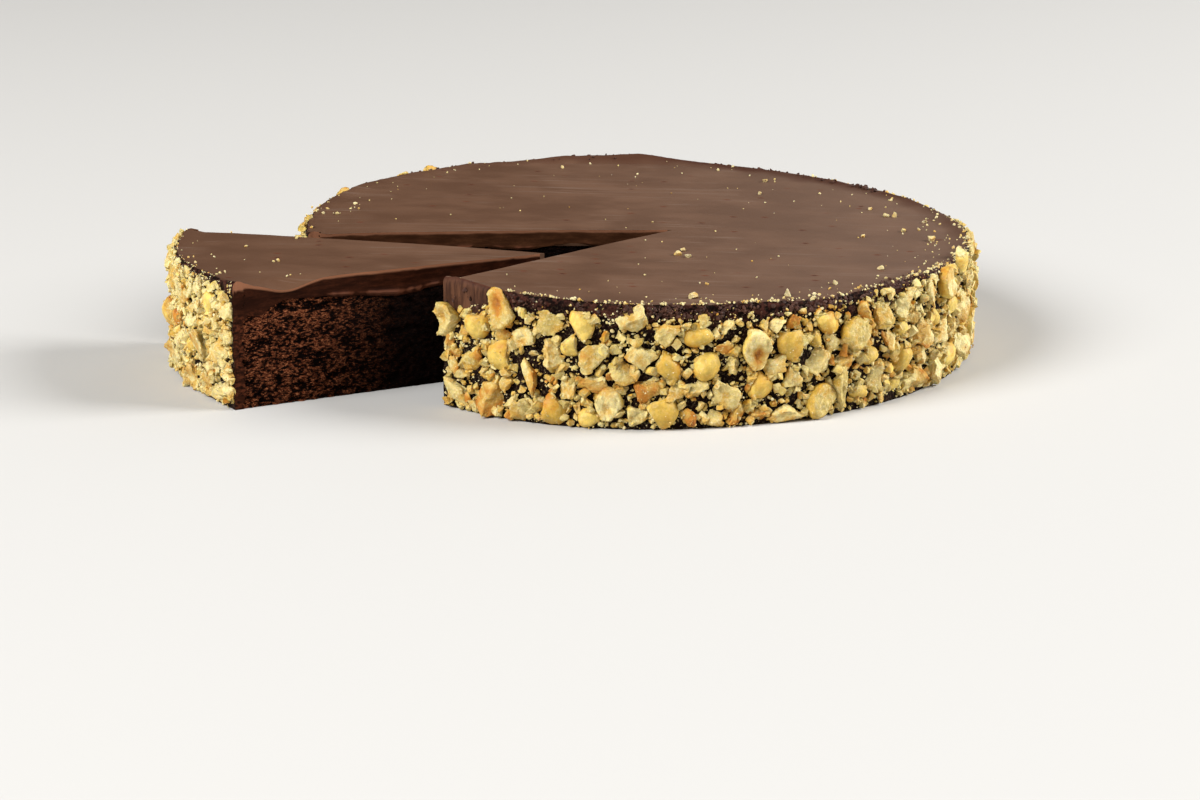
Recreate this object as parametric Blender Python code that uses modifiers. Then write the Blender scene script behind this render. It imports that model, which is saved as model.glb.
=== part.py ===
"""Flourless chocolate cake with ganache and chopped hazelnuts, one slice drawn part of the way out.

Metres, +Z up. The origin is the centre of the round cake on the surface that it stands on, and the
cut-out opens towards -X and -Y. The cake and the slice are each a dense crumb under a ganache coat,
and the chopped nuts on the side are fused to that coat.
"""

import math
import random

import bmesh
import bpy
import numpy as np
from mathutils import Matrix, Vector

MM = 0.001
UP = Vector((0, 0, 1))

# The whole cake
CAKE_RADIUS = 115 * MM
CAKE_HEIGHT = 40.6 * MM
TOP_SLOPE = -0.0141  # the ganache lies a little thicker on the -X side
GANACHE_TOP = 5.7 * MM
GANACHE_SIDE = 2.8 * MM
LAYER_GAP = 0.3 * MM
LIP_HEIGHT = 0.4 * MM
LIP_WIDTH = 7 * MM
RIM_ROUNDING = 2.4 * MM
SHOULDER_WIDTH, SHOULDER_DROP = 10 * MM, 6 * MM  # the crumb's rounded upper edge
TOP_RINGS = (0, 0.6, 1)  # rings of the top, from the axis to the lip
COAT_STEPS, CRUMB_STEPS = 90, 60  # columns round the whole cake
ROUNDING_STEPS = 3

# The cake isn't quite round or level. Each row below is an angle and a half width in degrees, and a height.
WALL_BUMPS = (
    (232, 17, -5.5 * MM),
    (356, 32, 2.6 * MM),
    (268, 20, 1.2 * MM),
)
TOP_DIPS = ((194, 26, -1.8 * MM),)
RIM_LUMPS = (
    (92, 14, 2.2 * MM),
    (88, 4, 0.9 * MM),
    (104, 4, 0.6 * MM),
    (124, 4, 0.6 * MM),
    (151, 4, 0.5 * MM),
    (176, 7, -0.8 * MM),
    (193, 4, 1.2 * MM),
    (239, 5, 1.8 * MM),
    (250, 12, 0.6 * MM),
    (302, 7, -1.2 * MM),
    (322, 6, 0.7 * MM),
    (3, 10, 0.9 * MM),
    (29, 5, 0.6 * MM),
)

# The cut-out and the slice that came from it
NOTCH_TIP = Vector((13.6 * MM, -6.5 * MM, 0))
NOTCH_FROM, NOTCH_TO = math.radians(186.6), math.radians(228.0)
KNIFE_GAP = math.radians(0.2)
SLICE_TIP = Vector((-30.6 * MM, -44.6 * MM, 0))
SLICE_TURN = math.radians(-18.5)

# Where the knife dragged the ganache over the front edge of the slice
DRAG_ALONG, DRAG_HALF_LENGTH = 95 * MM, 9 * MM
DRAG_DROP, DRAG_BULGE, DRAG_INWARD = 3.2 * MM, 1.0 * MM, 7 * MM
DRAG_STATIONS, DRAG_STEP = (-2, -1, 0, 1, 2), 0.62 * DRAG_HALF_LENGTH

# Relief of the cut crumb
CRUMB_COLUMN, CRUMB_ROW, CRUMB_RELIEF = 11 * MM, 8.2 * MM, 0.5 * MM

# Bare ganache between the rim and the nuts: angles in degrees, and heights
BARE_ANGLES = (186, 230, 236, 246, 262, 300, 315, 345, 390, 450, 540, 546)
BARE_HEIGHTS = (1.5, 2.0, 7.5, 4.5, 3.2, 3.0, 0.5, -0.8, 0.2, 1.2, 1.0, 1.5)

# Nuts that stand out: angle, then height, length, width and turn (millimetres and degrees)
CAKE_NUTS = (
    (248.2, 36.8, 13.5, 8.6, 112),
    (236.9, 30.4, 10.7, 10.2, 40),
    (243.0, 29.2, 10.2, 9.0, 75),
    (256.2, 34.2, 9.4, 8.4, 130),
    (261.6, 33.4, 11.2, 8.6, 100),
    (263.4, 24.2, 11.4, 8.0, 35),
    (253.3, 15.0, 12.6, 4.2, 115),
    (245.8, 6.2, 12.1, 10.4, 60),
    (266.1, 8.8, 11.2, 8.8, 95),
    (238.9, 6.2, 12.0, 7.0, 155),
    (275.1, 20.2, 11.6, 7.4, 125),
    (269.3, 35.8, 10.4, 8.4, 20),
    (279.7, 31.0, 10.2, 8.2, 10),
    (289.3, 26.0, 13.4, 9.4, 105),
    (295.5, 25.4, 11.6, 9.4, 110),
    (307.7, 25.6, 12.0, 11.4, 0),
    (294.9, 3.2, 13.5, 5.2, 175),
    (304.7, 9.2, 14.6, 4.8, 92),
    (300.7, 5.8, 12.0, 10.0, 30),
    (332.2, 34.2, 10.6, 9.6, 90),
    (340.0, 37.8, 9.4, 7.4, 100),
    (357.0, 36.4, 9.0, 7.6, 80),
    (88.0, 40.6, 5.4, 4.6, 20),
    (131.0, 40.2, 8.8, 6.4, 5),
    (138.3, 40.4, 7.0, 6.0, 30),
    (157.0, 40.2, 8.0, 6.2, 15),
    (176.5, 36.4, 9.0, 6.4, 75),
)
SLICE_NUTS = (
    (228.6, 3.0, 9.4, 4.6, 5),
    (227.2, 33.0, 7.6, 7.2, 60),
    (212.5, 21.2, 7.6, 6.2, 20),
    (203.0, 35.0, 9.0, 7.4, 70),
)

# The other nuts
NUT_SEED = 41
NUT_LARGEST, NUT_SMALLEST = 11.5 * MM, 5.2 * MM
NUT_SKEW = 1.15
NUT_SPACING = 0.74
NUT_TRIES = 30
NUT_COUNT_CAKE, NUT_COUNT_SLICE = 246, 34
NUT_SIX_SIDED = 9 * MM  # nuts from this length on have six sides, the others five
NUT_WIDTH_SHARE = (0.66, 0.98)
NUT_BED = 1.6 * MM
NUT_RISE_LEAST, NUT_RISE_MOST = 2.4 * MM, 4.9 * MM
NUT_RISE_SHARE = (0.72, 1.05)
NUT_TILT = 0.16
NUT_CORNER_SHIFT, NUT_CORNER_REACH = 0.2, (0.9, 1.12)
NUT_SHOULDER, NUT_SHOULDER_LEAST = (0.34, 0.62), 0.2
NUT_CROWN, NUT_CROWN_REACH = (0.86, 1.0), (0.3, 0.55)
NUT_CLEAR_OF_FLOOR = 0.25 * MM
NUT_CLEAR_OF_CUT = 0.36

COLOURS = {
    "ganache": ((0.050, 0.024, 0.015, 1.0), 0.32),
    "crumb": ((0.022, 0.009, 0.005, 1.0), 0.75),
}


def new_collection(name):
    collection = bpy.data.collections.new(name)
    bpy.context.scene.collection.children.link(collection)
    return collection


def make_material(name):
    colour, roughness = COLOURS[name]
    material = bpy.data.materials.new(name)
    material.use_nodes = True
    shader = material.node_tree.nodes["Principled BSDF"]
    shader.inputs["Base Color"].default_value = colour
    shader.inputs["Roughness"].default_value = roughness
    shader.inputs["Metallic"].default_value = 0.0
    return material


def add_object(name, data, collection):
    made = bpy.data.objects.new(name, data)
    collection.objects.link(made)
    return made


def edited(body, change):
    """Runs a change on the body's mesh and writes the result back."""
    shape = bmesh.new()
    shape.from_mesh(body.data)
    change(shape)
    shape.to_mesh(body.data)
    shape.free()


def made_plain(source, name):
    """A mesh object of the evaluated shape, with doubled points welded, in place of the source."""
    graph = bpy.context.evaluated_depsgraph_get()
    mesh = bpy.data.meshes.new_from_object(source.evaluated_get(graph))
    plain = add_object(name, mesh, source.users_collection[0])
    edited(plain, lambda shape: bmesh.ops.remove_doubles(shape, verts=shape.verts, dist=0.001 * MM))
    bpy.data.objects.remove(source)
    return plain


def direction(angle):
    return Vector((math.cos(angle), math.sin(angle), 0))


def degrees_apart(angle, centre):
    """How far an angle in radians is from a centre in degrees, between -180 and 180."""
    return (math.degrees(angle) - centre + 180) % 360 - 180


def quarter(centre, width, height, start, end):
    """Points of a quarter ellipse in the profile's plane, from start to end in degrees."""
    shares = [step / ROUNDING_STEPS for step in range(ROUNDING_STEPS + 1)]
    angles = [math.radians(start + (end - start) * share) for share in shares]
    return [(centre[0] + width * math.cos(a), centre[1] + height * math.sin(a)) for a in angles]


def shoulder(radius, height, start, end):
    """The rounded upper edge that the crumb and the inside of its coat share."""
    centre = (radius - SHOULDER_WIDTH, height - SHOULDER_DROP)
    return quarter(centre, SHOULDER_WIDTH, SHOULDER_DROP, start, end)


def crumb_outline():
    """The crumb's profile from the axis at the top, out over its shoulder and down the side."""
    radius = CAKE_RADIUS - GANACHE_SIDE - LAYER_GAP
    height = CAKE_HEIGHT - GANACHE_TOP - LAYER_GAP
    return [(0, height), *shoulder(radius, height, 90, 0), (radius, 0), (0, 0)]


def ganache_outline():
    """The coat's profile: the top with its lip, the rounded rim, the side, and back up the inside."""
    lip = CAKE_HEIGHT + LIP_HEIGHT
    rim = (CAKE_RADIUS - RIM_ROUNDING, lip - RIM_ROUNDING)
    flat = [(share * (CAKE_RADIUS - LIP_WIDTH), CAKE_HEIGHT) for share in TOP_RINGS]
    edge = quarter(rim, RIM_ROUNDING, RIM_ROUNDING, 90, 0)
    radius = CAKE_RADIUS - GANACHE_SIDE
    height = CAKE_HEIGHT - GANACHE_TOP
    inside = [(radius, 0), *shoulder(radius, height, 0, 90), (0, height)]
    return flat + edge + [(CAKE_RADIUS, 0)] + inside


def turned(name, outline, steps, collection):
    """The outline turned about Z. It runs down its outer side, and both its ends lie on the axis."""
    mesh = bpy.data.meshes.new(name)
    edges = [(i, i + 1) for i in range(len(outline) - 1)]
    mesh.from_pydata([(x, 0, z) for x, z in outline], edges, [])
    blank = add_object(name + "_profile", mesh, collection)
    screw = blank.modifiers.new("Turn", "SCREW")
    screw.angle = math.tau
    screw.steps = screw.render_steps = steps
    screw.use_merge_vertices = True
    screw.merge_threshold = 0.01 * MM
    return made_plain(blank, name)


def total(rows, angle):
    """The sum at this angle of smooth bumps, each given by its angle, half width and height."""
    return sum(height * math.exp(-((degrees_apart(angle, at) / width) ** 2)) for at, width, height in rows)


def wall_radius(angle):
    """The outer radius of the coat at this angle."""
    return CAKE_RADIUS + total(WALL_BUMPS, angle)


def wall_point(angle):
    return wall_radius(angle) * direction(angle)


def settle(body):
    """Gives the turned body the cake's uneven outline, leaning top and lumpy rim; its base stays flat."""
    for vertex in body.data.vertices:
        x, y, z = vertex.co
        angle = math.atan2(y, x)
        reach = math.hypot(x, y)
        lean = TOP_SLOPE * x + total(TOP_DIPS, angle) * (reach / CAKE_RADIUS) ** 2
        near_rim = max(0.0, 1 - (CAKE_RADIUS - reach) / LIP_WIDTH)
        near_top = max(0.0, 1 - (CAKE_HEIGHT + LIP_HEIGHT - z) / (RIM_ROUNDING + LIP_HEIGHT))
        vertex.co.xy *= wall_radius(angle) / CAKE_RADIUS
        vertex.co.z = z * (1 + lean / CAKE_HEIGHT) + total(RIM_LUMPS, angle) * near_rim * near_top


def wedge(name, start, end, collection):
    """A prism over the sector from the notch's tip between two directions, taller than the cake."""
    curve = bpy.data.curves.new(name, "CURVE")
    curve.dimensions = "2D"
    curve.fill_mode = "BOTH"
    curve.extrude = 2 * CAKE_HEIGHT
    line = curve.splines.new("POLY")
    line.points.add(2)
    corners = [NOTCH_TIP, *(NOTCH_TIP + 2.2 * CAKE_RADIUS * direction(a) for a in (start, end))]
    for point, corner in zip(line.points, corners):
        point.co = (*corner, 1)
    line.use_cyclic_u = True
    cutter = made_plain(add_object(name + "_outline", curve, collection), name)
    edited(cutter, lambda shape: bmesh.ops.recalc_face_normals(shape, faces=shape.faces))
    cutter.hide_render = True
    cutter.display_type = "WIRE"
    return cutter


def cut(body, cutter, operation):
    """Cuts the body by the cutter, or keeps only what lies inside it."""
    boolean = body.modifiers.new("Knife", "BOOLEAN")
    boolean.operation = operation
    boolean.object = cutter
    boolean.solver = "EXACT"
    name = body.name
    body.name = name + "_uncut"
    return made_plain(body, name)


def split(shape, geometry, point, normal):
    """Splits the given faces by a plane and returns the faces and edges that come of them."""
    made = bmesh.ops.bisect_plane(shape, geom=geometry, dist=0.001 * MM, plane_co=point, plane_no=normal)
    return made["geom"]


def roughen_cut(body, cut_angle):
    """Gives the crumb's face along one cut a coarse relief, and leaves that face's border alone."""
    way = direction(cut_angle)
    across = Vector((-way.y, way.x, 0))
    draw = random.Random(round(math.degrees(cut_angle)))

    def change(shape):
        faces = [f for f in shape.faces if abs((f.calc_center_median() - NOTCH_TIP).dot(across)) < 0.01 * MM]
        edges = {edge for face in faces for edge in face.edges}
        corners = {vertex for face in faces for vertex in face.verts}
        geometry = [*faces, *edges, *corners]
        reach = max((v.co - NOTCH_TIP).dot(way) for v in corners)
        for column in range(1, int(reach / CRUMB_COLUMN)):
            geometry = split(shape, geometry, NOTCH_TIP + column * CRUMB_COLUMN * way, way)
        for row in range(1, int(CAKE_HEIGHT / CRUMB_ROW)):
            geometry = split(shape, geometry, row * CRUMB_ROW * UP, UP)
        cut_faces = {item for item in geometry if isinstance(item, bmesh.types.BMFace)}
        for vertex in shape.verts:
            if all(face in cut_faces for face in vertex.link_faces):
                vertex.co += across * draw.uniform(-CRUMB_RELIEF, CRUMB_RELIEF)
        bmesh.ops.triangulate(shape, faces=shape.faces)

    edited(body, change)


def drag_edge(body, cut_angle):
    """Draws the slice's ganache down and a little outward, where the knife dragged it over the edge."""
    way = direction(cut_angle)
    inward = Vector((way.y, -way.x, 0))

    def change(shape):
        geometry = [*shape.verts, *shape.edges, *shape.faces]
        for station in DRAG_STATIONS:
            point = NOTCH_TIP + (DRAG_ALONG + station * DRAG_STEP) * way
            geometry = split(shape, geometry, point, way)
        split(shape, geometry, NOTCH_TIP + DRAG_INWARD * inward, inward)
        for vertex in shape.verts:
            offset = vertex.co - NOTCH_TIP
            if abs(offset.dot(inward)) < 0.01 * MM and vertex.co.z > 0.95 * CAKE_HEIGHT:
                share = math.exp(-(((offset.dot(way) - DRAG_ALONG) / DRAG_HALF_LENGTH) ** 2))
                vertex.co -= share * (DRAG_DROP * UP + DRAG_BULGE * inward)
        bmesh.ops.triangulate(shape, faces=shape.faces)

    edited(body, change)


def rim_angle(cut_angle):
    """The angle about the cake's own centre at which a cut from the notch's tip reaches the rim."""
    way = direction(cut_angle)
    angle = cut_angle
    for _ in range(6):
        back = NOTCH_TIP.dot(way)
        length = math.sqrt(back**2 - NOTCH_TIP.length_squared + wall_radius(angle) ** 2) - back
        end = NOTCH_TIP + length * way
        angle = math.atan2(end.y, end.x) % math.tau
    return angle


def nut_line(angle):
    """How high on the side the nuts reach at this angle."""
    turn = (math.degrees(angle) - BARE_ANGLES[0]) % 360 + BARE_ANGLES[0]
    bare = float(np.interp(turn, BARE_ANGLES, BARE_HEIGHTS)) * MM
    return CAKE_HEIGHT + TOP_SLOPE * CAKE_RADIUS * math.cos(angle) - bare


def make_nut(draw, angle, height, length, width, turn):
    """One nut's place on the side, its footprint, and how far it stands out."""
    span = 0.5 * (length + width) / NUT_LARGEST
    rise = NUT_RISE_MOST * span * draw.uniform(*NUT_RISE_SHARE)
    return {
        "angle": angle,
        "height": height,
        "length": length,
        "width": width,
        "turn": turn,
        "rise": min(NUT_RISE_MOST, max(NUT_RISE_LEAST, rise)),
        "tilt": (draw.uniform(-NUT_TILT, NUT_TILT), draw.uniform(-NUT_TILT, NUT_TILT)),
        "seed": draw.randrange(10**6),
    }


def spread_nuts(draw, named, start, end, count):
    """The named nuts, then others between two angles, largest first, each clear of the rest."""
    placed = []
    for degrees, height, length, width, turn in named:
        sizes = (height * MM, length * MM, width * MM)
        placed.append(make_nut(draw, math.radians(degrees), *sizes, math.radians(turn)))
    spread = NUT_LARGEST - NUT_SMALLEST
    lengths = sorted((NUT_SMALLEST + spread * draw.random() ** NUT_SKEW for _ in range(count)), reverse=True)
    for length in lengths:
        width = length * draw.uniform(*NUT_WIDTH_SHARE)
        margin = NUT_CLEAR_OF_CUT * length / CAKE_RADIUS
        best, best_room = None, NUT_SPACING
        for _ in range(NUT_TRIES):
            angle = draw.uniform(start + margin, end - margin)
            height = draw.uniform(0.4 * width, nut_line(angle) - 0.42 * length)
            room = min(room_between(angle, height, 0.5 * (length + width), other) for other in placed)
            if room > best_room:
                best, best_room = (angle, height), room
        if best:
            placed.append(make_nut(draw, *best, length, width, draw.uniform(0, math.pi)))
    return placed


def room_between(angle, height, size, other):
    """The distance from a placed nut, as a share of the distance at which the two just touch."""
    turn = (angle - other["angle"] + math.pi) % math.tau - math.pi
    apart = math.hypot(turn * CAKE_RADIUS, height - other["height"])
    return apart / (0.5 * size + 0.25 * (other["length"] + other["width"]))


def nut_place(nut):
    """The matrix from a nut's own axes (X along the wall, Y up, Z out) to the cake's."""
    angle = nut["angle"]
    step = 0.02
    along = (wall_point(angle + step) - wall_point(angle - step)).normalized()
    out = along.cross(UP)
    axes = Matrix((along, UP, out)).transposed().to_4x4()
    return Matrix.Translation(wall_point(angle) + nut["height"] * UP) @ axes


def chopped_nut(nut, name, collection):
    """One chip of hazelnut: an uneven block set in the ganache, under a crown of 1 to 3 points."""
    draw = random.Random(nut["seed"])
    tilt_x, tilt_y = nut["tilt"]
    sides = 6 if nut["length"] > NUT_SIX_SIDED else 5
    crown_count = draw.randint(1, 3)
    spin = Matrix.Rotation(nut["turn"], 2)

    def footprint(turn, reach):
        flat = Vector((nut["length"] * math.cos(turn), nut["width"] * math.sin(turn)))
        flat = spin @ (0.5 * reach * flat)
        flat.y = max(flat.y, NUT_CLEAR_OF_FLOOR - nut["height"])
        return flat

    shape = bmesh.new()
    base, shoulders, crown = [], [], []
    owner = [side * crown_count // sides for side in range(sides)]
    for side in range(sides):
        turn = math.tau * (side + draw.uniform(-NUT_CORNER_SHIFT, NUT_CORNER_SHIFT)) / sides
        flat = footprint(turn, draw.uniform(*NUT_CORNER_REACH))
        level = nut["rise"] * draw.uniform(*NUT_SHOULDER) + tilt_x * flat.x + tilt_y * flat.y
        base.append(shape.verts.new((*flat, -NUT_BED)))
        shoulders.append(shape.verts.new((*flat, max(level, NUT_SHOULDER_LEAST * nut["rise"]))))
    for point in range(crown_count):
        owned = [side for side in range(sides) if owner[side] == point]
        turn = math.tau * sum(owned) / len(owned) / sides
        flat = footprint(turn, draw.uniform(*NUT_CROWN_REACH) if crown_count > 1 else 0.15)
        level = nut["rise"] * draw.uniform(*NUT_CROWN) + tilt_x * flat.x + tilt_y * flat.y
        crown.append(shape.verts.new((*flat, level)))
    for side in range(sides):
        after = (side + 1) % sides
        here, there = crown[owner[side]], crown[owner[after]]
        shape.faces.new((base[side], base[after], shoulders[after], shoulders[side]))
        shape.faces.new((shoulders[side], shoulders[after], there))
        if here is not there:
            shape.faces.new((shoulders[side], there, here))
    shape.faces.new(base[::-1])
    if crown_count == 3:
        shape.faces.new(crown)
    shape.transform(nut_place(nut))
    mesh = bpy.data.meshes.new(name)
    shape.to_mesh(mesh)
    shape.free()
    return add_object(name, mesh, collection)


def fuse_nuts(body, nuts):
    """Joins the coat with its nuts, then removes the loose ones."""
    pieces = new_collection(body.name + "_nuts")
    for index, nut in enumerate(nuts):
        chopped_nut(nut, f"{body.name}_nut_{index}", pieces)
    union = body.modifiers.new("Fuse", "BOOLEAN")
    union.operation = "UNION"
    union.operand_type = "COLLECTION"
    union.collection = pieces
    union.solver = "EXACT"
    name = body.name
    body.name = name + "_bare"
    fused = made_plain(body, name)
    for piece in list(pieces.objects):
        bpy.data.objects.remove(piece)
    bpy.data.collections.remove(pieces)
    return fused


def build_layers(owner, cutter, operation, collection):
    """The crumb and the coat of the cake or of the slice."""
    made = []
    layers = (("crumb", crumb_outline(), CRUMB_STEPS), ("ganache", ganache_outline(), COAT_STEPS))
    for layer, outline, steps in layers:
        body = turned(f"{owner}_{layer}", outline, steps, collection)
        settle(body)
        made.append(cut(body, cutter, operation))
    return made


def build():
    for old in list(bpy.data.objects):
        bpy.data.objects.remove(old)
    whole = new_collection("flourless_chocolate_cake")
    cutters = new_collection("cutters")
    slice_from, slice_to = NOTCH_FROM + KNIFE_GAP, NOTCH_TO - KNIFE_GAP
    notch = wedge("notch_cutter", NOTCH_FROM, NOTCH_TO, cutters)
    portion = wedge("slice_cutter", slice_from, slice_to, cutters)

    cake_crumb, cake_ganache = build_layers("cake", notch, "DIFFERENCE", whole)
    slice_crumb, slice_ganache = build_layers("slice", portion, "INTERSECT", whole)
    for body, angles in ((cake_crumb, (NOTCH_FROM, NOTCH_TO)), (slice_crumb, (slice_from, slice_to))):
        for angle in angles:
            roughen_cut(body, angle)
    drag_edge(slice_ganache, slice_to)

    draw = random.Random(NUT_SEED)
    start, end = rim_angle(NOTCH_TO), rim_angle(NOTCH_FROM) + math.tau
    cake_nuts = spread_nuts(draw, CAKE_NUTS, start, end, NUT_COUNT_CAKE)
    start, end = rim_angle(slice_from), rim_angle(slice_to)
    slice_nuts = spread_nuts(draw, SLICE_NUTS, start, end, NUT_COUNT_SLICE)
    print(len(cake_nuts), "nuts on the cake and", len(slice_nuts), "on the slice")
    cake_ganache = fuse_nuts(cake_ganache, cake_nuts)
    slice_ganache = fuse_nuts(slice_ganache, slice_nuts)

    pull = add_object("slice_pull", None, whole)
    pull.matrix_world = Matrix.Translation(SLICE_TIP) @ Matrix.Rotation(SLICE_TURN, 4, "Z")
    for body in (slice_crumb, slice_ganache):
        body.parent = pull
        body.location = -NOTCH_TIP
    for body in (cake_crumb, cake_ganache, slice_crumb, slice_ganache):
        body.data.materials.clear()
        body.data.materials.append(make_material(body.name.split("_")[1]))
        body.data.shade_smooth()
        body.data.set_sharp_from_angle(angle=math.radians(35))
    bpy.context.view_layer.update()


build()
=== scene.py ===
# %% [markdown]
# # A flourless chocolate cake with one slice drawn out
#
# The cake is a low round of dense crumb under a set ganache, with chopped toasted hazelnuts pressed
# round its side. One slice has been cut and drawn part of the way out, so its cut faces show.
#
# This lesson dresses the plain solids of that cake. The solids arrive first, and everything that is
# made afterwards sits where they say, in metres, with +Z up and the cake's centre at the origin.

import math
import random
from types import SimpleNamespace

import bmesh
import bpy
import numpy as np
from mathutils import Matrix, Vector, noise
from mathutils.bvhtree import BVHTree


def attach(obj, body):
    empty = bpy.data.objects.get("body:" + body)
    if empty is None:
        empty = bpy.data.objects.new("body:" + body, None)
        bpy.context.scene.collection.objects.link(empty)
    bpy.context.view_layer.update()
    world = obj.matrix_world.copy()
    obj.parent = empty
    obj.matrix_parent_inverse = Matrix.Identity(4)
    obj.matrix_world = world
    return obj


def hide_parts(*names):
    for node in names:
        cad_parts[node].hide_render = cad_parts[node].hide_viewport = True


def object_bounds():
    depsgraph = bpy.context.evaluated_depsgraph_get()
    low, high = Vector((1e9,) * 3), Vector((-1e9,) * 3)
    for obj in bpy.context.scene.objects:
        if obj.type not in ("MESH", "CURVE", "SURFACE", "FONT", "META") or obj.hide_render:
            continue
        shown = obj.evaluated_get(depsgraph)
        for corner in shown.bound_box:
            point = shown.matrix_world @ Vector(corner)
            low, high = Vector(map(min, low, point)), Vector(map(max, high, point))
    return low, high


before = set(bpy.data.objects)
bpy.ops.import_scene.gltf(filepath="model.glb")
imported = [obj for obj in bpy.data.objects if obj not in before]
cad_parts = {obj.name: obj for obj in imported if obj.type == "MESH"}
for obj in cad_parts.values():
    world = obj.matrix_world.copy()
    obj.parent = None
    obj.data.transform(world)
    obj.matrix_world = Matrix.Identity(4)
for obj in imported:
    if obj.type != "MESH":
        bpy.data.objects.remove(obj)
cad_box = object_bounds()
MM = 0.001
far_corner = [round(side / MM) for side in cad_box[1]]
print("solids:", sorted(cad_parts), "with their far corner at", far_corner, "mm")

# %% [markdown]
# ## The camera
# The cake is seen from a little above its own height and from about a metre away, through a long lens.
# A long lens keeps the near and the far side of a round object alike in size, as they look at a table.
# The camera leans 16 degrees down and is turned a touch round its own line of sight.

# %% Place the camera
CAMERA_PLACE = Vector((-11.2, -1021.7, 270.0)) * MM
CAMERA_DOWN, CAMERA_ROLL = math.radians(16.04), math.radians(0.72)
# The lens and its sensor are in millimetres as Blender counts them, and the furthest sight in metres
LENS, SENSOR_WIDTH, FURTHEST_SIGHT = 89.04, 36, 20

camera_data = bpy.data.cameras.new("camera")
camera_data.sensor_width = SENSOR_WIDTH
camera_data.lens = LENS
camera_data.clip_end = FURTHEST_SIGHT
camera = bpy.data.objects.new("camera", camera_data)
bpy.context.scene.collection.objects.link(camera)
lean = Matrix.Rotation(math.pi / 2 - CAMERA_DOWN, 4, "X") @ Matrix.Rotation(CAMERA_ROLL, 4, "Z")
camera.matrix_world = Matrix.Translation(CAMERA_PLACE) @ lean
bpy.context.scene.camera = camera
print("camera", round(CAMERA_PLACE.length, 3), "m from the cake's centre")

# %% [markdown]
# ## Floor and studio light
# A pale floor and a dim pale sky stand in for a small studio. Dark ganache beside cream nuts needs
# contrast, so most of the light comes from two large soft lamps: the brighter one from the front left,
# the other from the right. Both stand fairly low, so the cut-out lies in its own shade. A weak third
# one behind lays a sheen on the top. Plain colour handling keeps the browns as rich as they are.

# %% Set the floor, the sky and the lamps
FLOOR_SIZE, FLOOR_COLOUR, FLOOR_ROUGHNESS = 8, (0.56, 0.55, 0.53), 0.8
SKY_COLOUR, SKY_STRENGTH = (1.0, 0.94, 0.85, 1), 0.11
LAMP_DISTANCE = 3.2
# Each row is a name, an azimuth and an elevation in degrees, a width in metres and a power in watts
LAMPS = (
    ("lamp_left", 219, 36, 1.7, 141),
    ("lamp_right", 0, 31, 1.7, 141),
    ("lamp_back", 62, 27, 1.9, 9),
)


def deselect():
    bpy.ops.object.select_all(action="DESELECT")


def plain_material(name, colour, roughness):
    material = bpy.data.materials.new(name)
    material.use_nodes = True
    shader = material.node_tree.nodes["Principled BSDF"]
    shader.inputs["Base Color"].default_value = (*colour, 1)
    shader.inputs["Roughness"].default_value = roughness
    return material


def add_lamp(name, azimuth, elevation, size, power):
    """A round soft lamp that looks at the cake from this direction."""
    turn, rise = math.radians(azimuth), math.radians(elevation)
    way = Vector((math.cos(turn) * math.cos(rise), math.sin(turn) * math.cos(rise), math.sin(rise)))
    lamp_data = bpy.data.lights.new(name, "AREA")
    lamp_data.shape = "DISK"
    lamp_data.size = size
    lamp_data.energy = power
    lamp = bpy.data.objects.new(name, lamp_data)
    bpy.context.scene.collection.objects.link(lamp)
    lamp.location = LAMP_DISTANCE * way
    lamp.rotation_euler = way.to_track_quat("Z", "Y").to_euler()


deselect()
bpy.ops.mesh.primitive_plane_add(size=FLOOR_SIZE, location=(0, 0, 0))
floor = bpy.context.object
floor.name = "floor"
floor.data.materials.append(plain_material("pale floor", FLOOR_COLOUR, FLOOR_ROUGHNESS))

world = bpy.data.worlds.new("studio")
bpy.context.scene.world = world
world.use_nodes = True
sky = world.node_tree.nodes["Background"]
sky.inputs["Color"].default_value = SKY_COLOUR
sky.inputs["Strength"].default_value = SKY_STRENGTH
bpy.context.scene.view_settings.view_transform = "Standard"

for lamp_row in LAMPS:
    add_lamp(*lamp_row)
print("stage set with", len(LAMPS), "lamps")

# %% [markdown]
# ## The shape that every layer shares
# The real cake isn't a perfect disc: it is flatter beside the cut, its top leans and dips a little, and
# its rim is lumpy. The same few smooth bumps describe that for the crumb, the ganache and the nuts, so
# they all follow one another. Each bump is an angle, a half width in degrees, and a height.

# %% Describe the uneven cake
CAKE_RADIUS, CAKE_HEIGHT = 115 * MM, 40.6 * MM
TOP_SLOPE = -0.0141
GANACHE_TOP, GANACHE_SIDE = 5.7 * MM, 2.8 * MM
LIP_HEIGHT, LIP_WIDTH, RIM_ROUNDING = 0.4 * MM, 7 * MM, 1.5 * MM
SHOULDER_WIDTH, SHOULDER_DROP = 10 * MM, 6 * MM
WALL_BUMPS = (
    (232, 17, -5.5 * MM),
    (356, 32, 2.6 * MM),
    (268, 20, 1.2 * MM),
)
TOP_DIPS = ((194, 26, -1.8 * MM),)
RIM_LUMPS = (
    (92, 14, 2.2 * MM),
    (88, 4, 0.9 * MM),
    (104, 4, 0.6 * MM),
    (124, 4, 0.6 * MM),
    (151, 4, 0.5 * MM),
    (176, 7, -0.8 * MM),
    (193, 4, 1.2 * MM),
    (239, 5, 1.8 * MM),
    (250, 12, 0.6 * MM),
    (302, 7, -1.2 * MM),
    (322, 6, 0.7 * MM),
    (3, 10, 0.9 * MM),
    (29, 5, 0.6 * MM),
)
NOTCH_TIP = Vector((13.6 * MM, -6.5 * MM, 0))
TIP = np.array(NOTCH_TIP.xy)
NOTCH_FROM, NOTCH_TO = math.radians(186.6), math.radians(228.0)
KNIFE_GAP = math.radians(0.2)
SLICE_FROM, SLICE_TO = NOTCH_FROM + KNIFE_GAP, NOTCH_TO - KNIFE_GAP
SLICE_TIP = Vector((-30.6 * MM, -44.6 * MM, 0))
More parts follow.
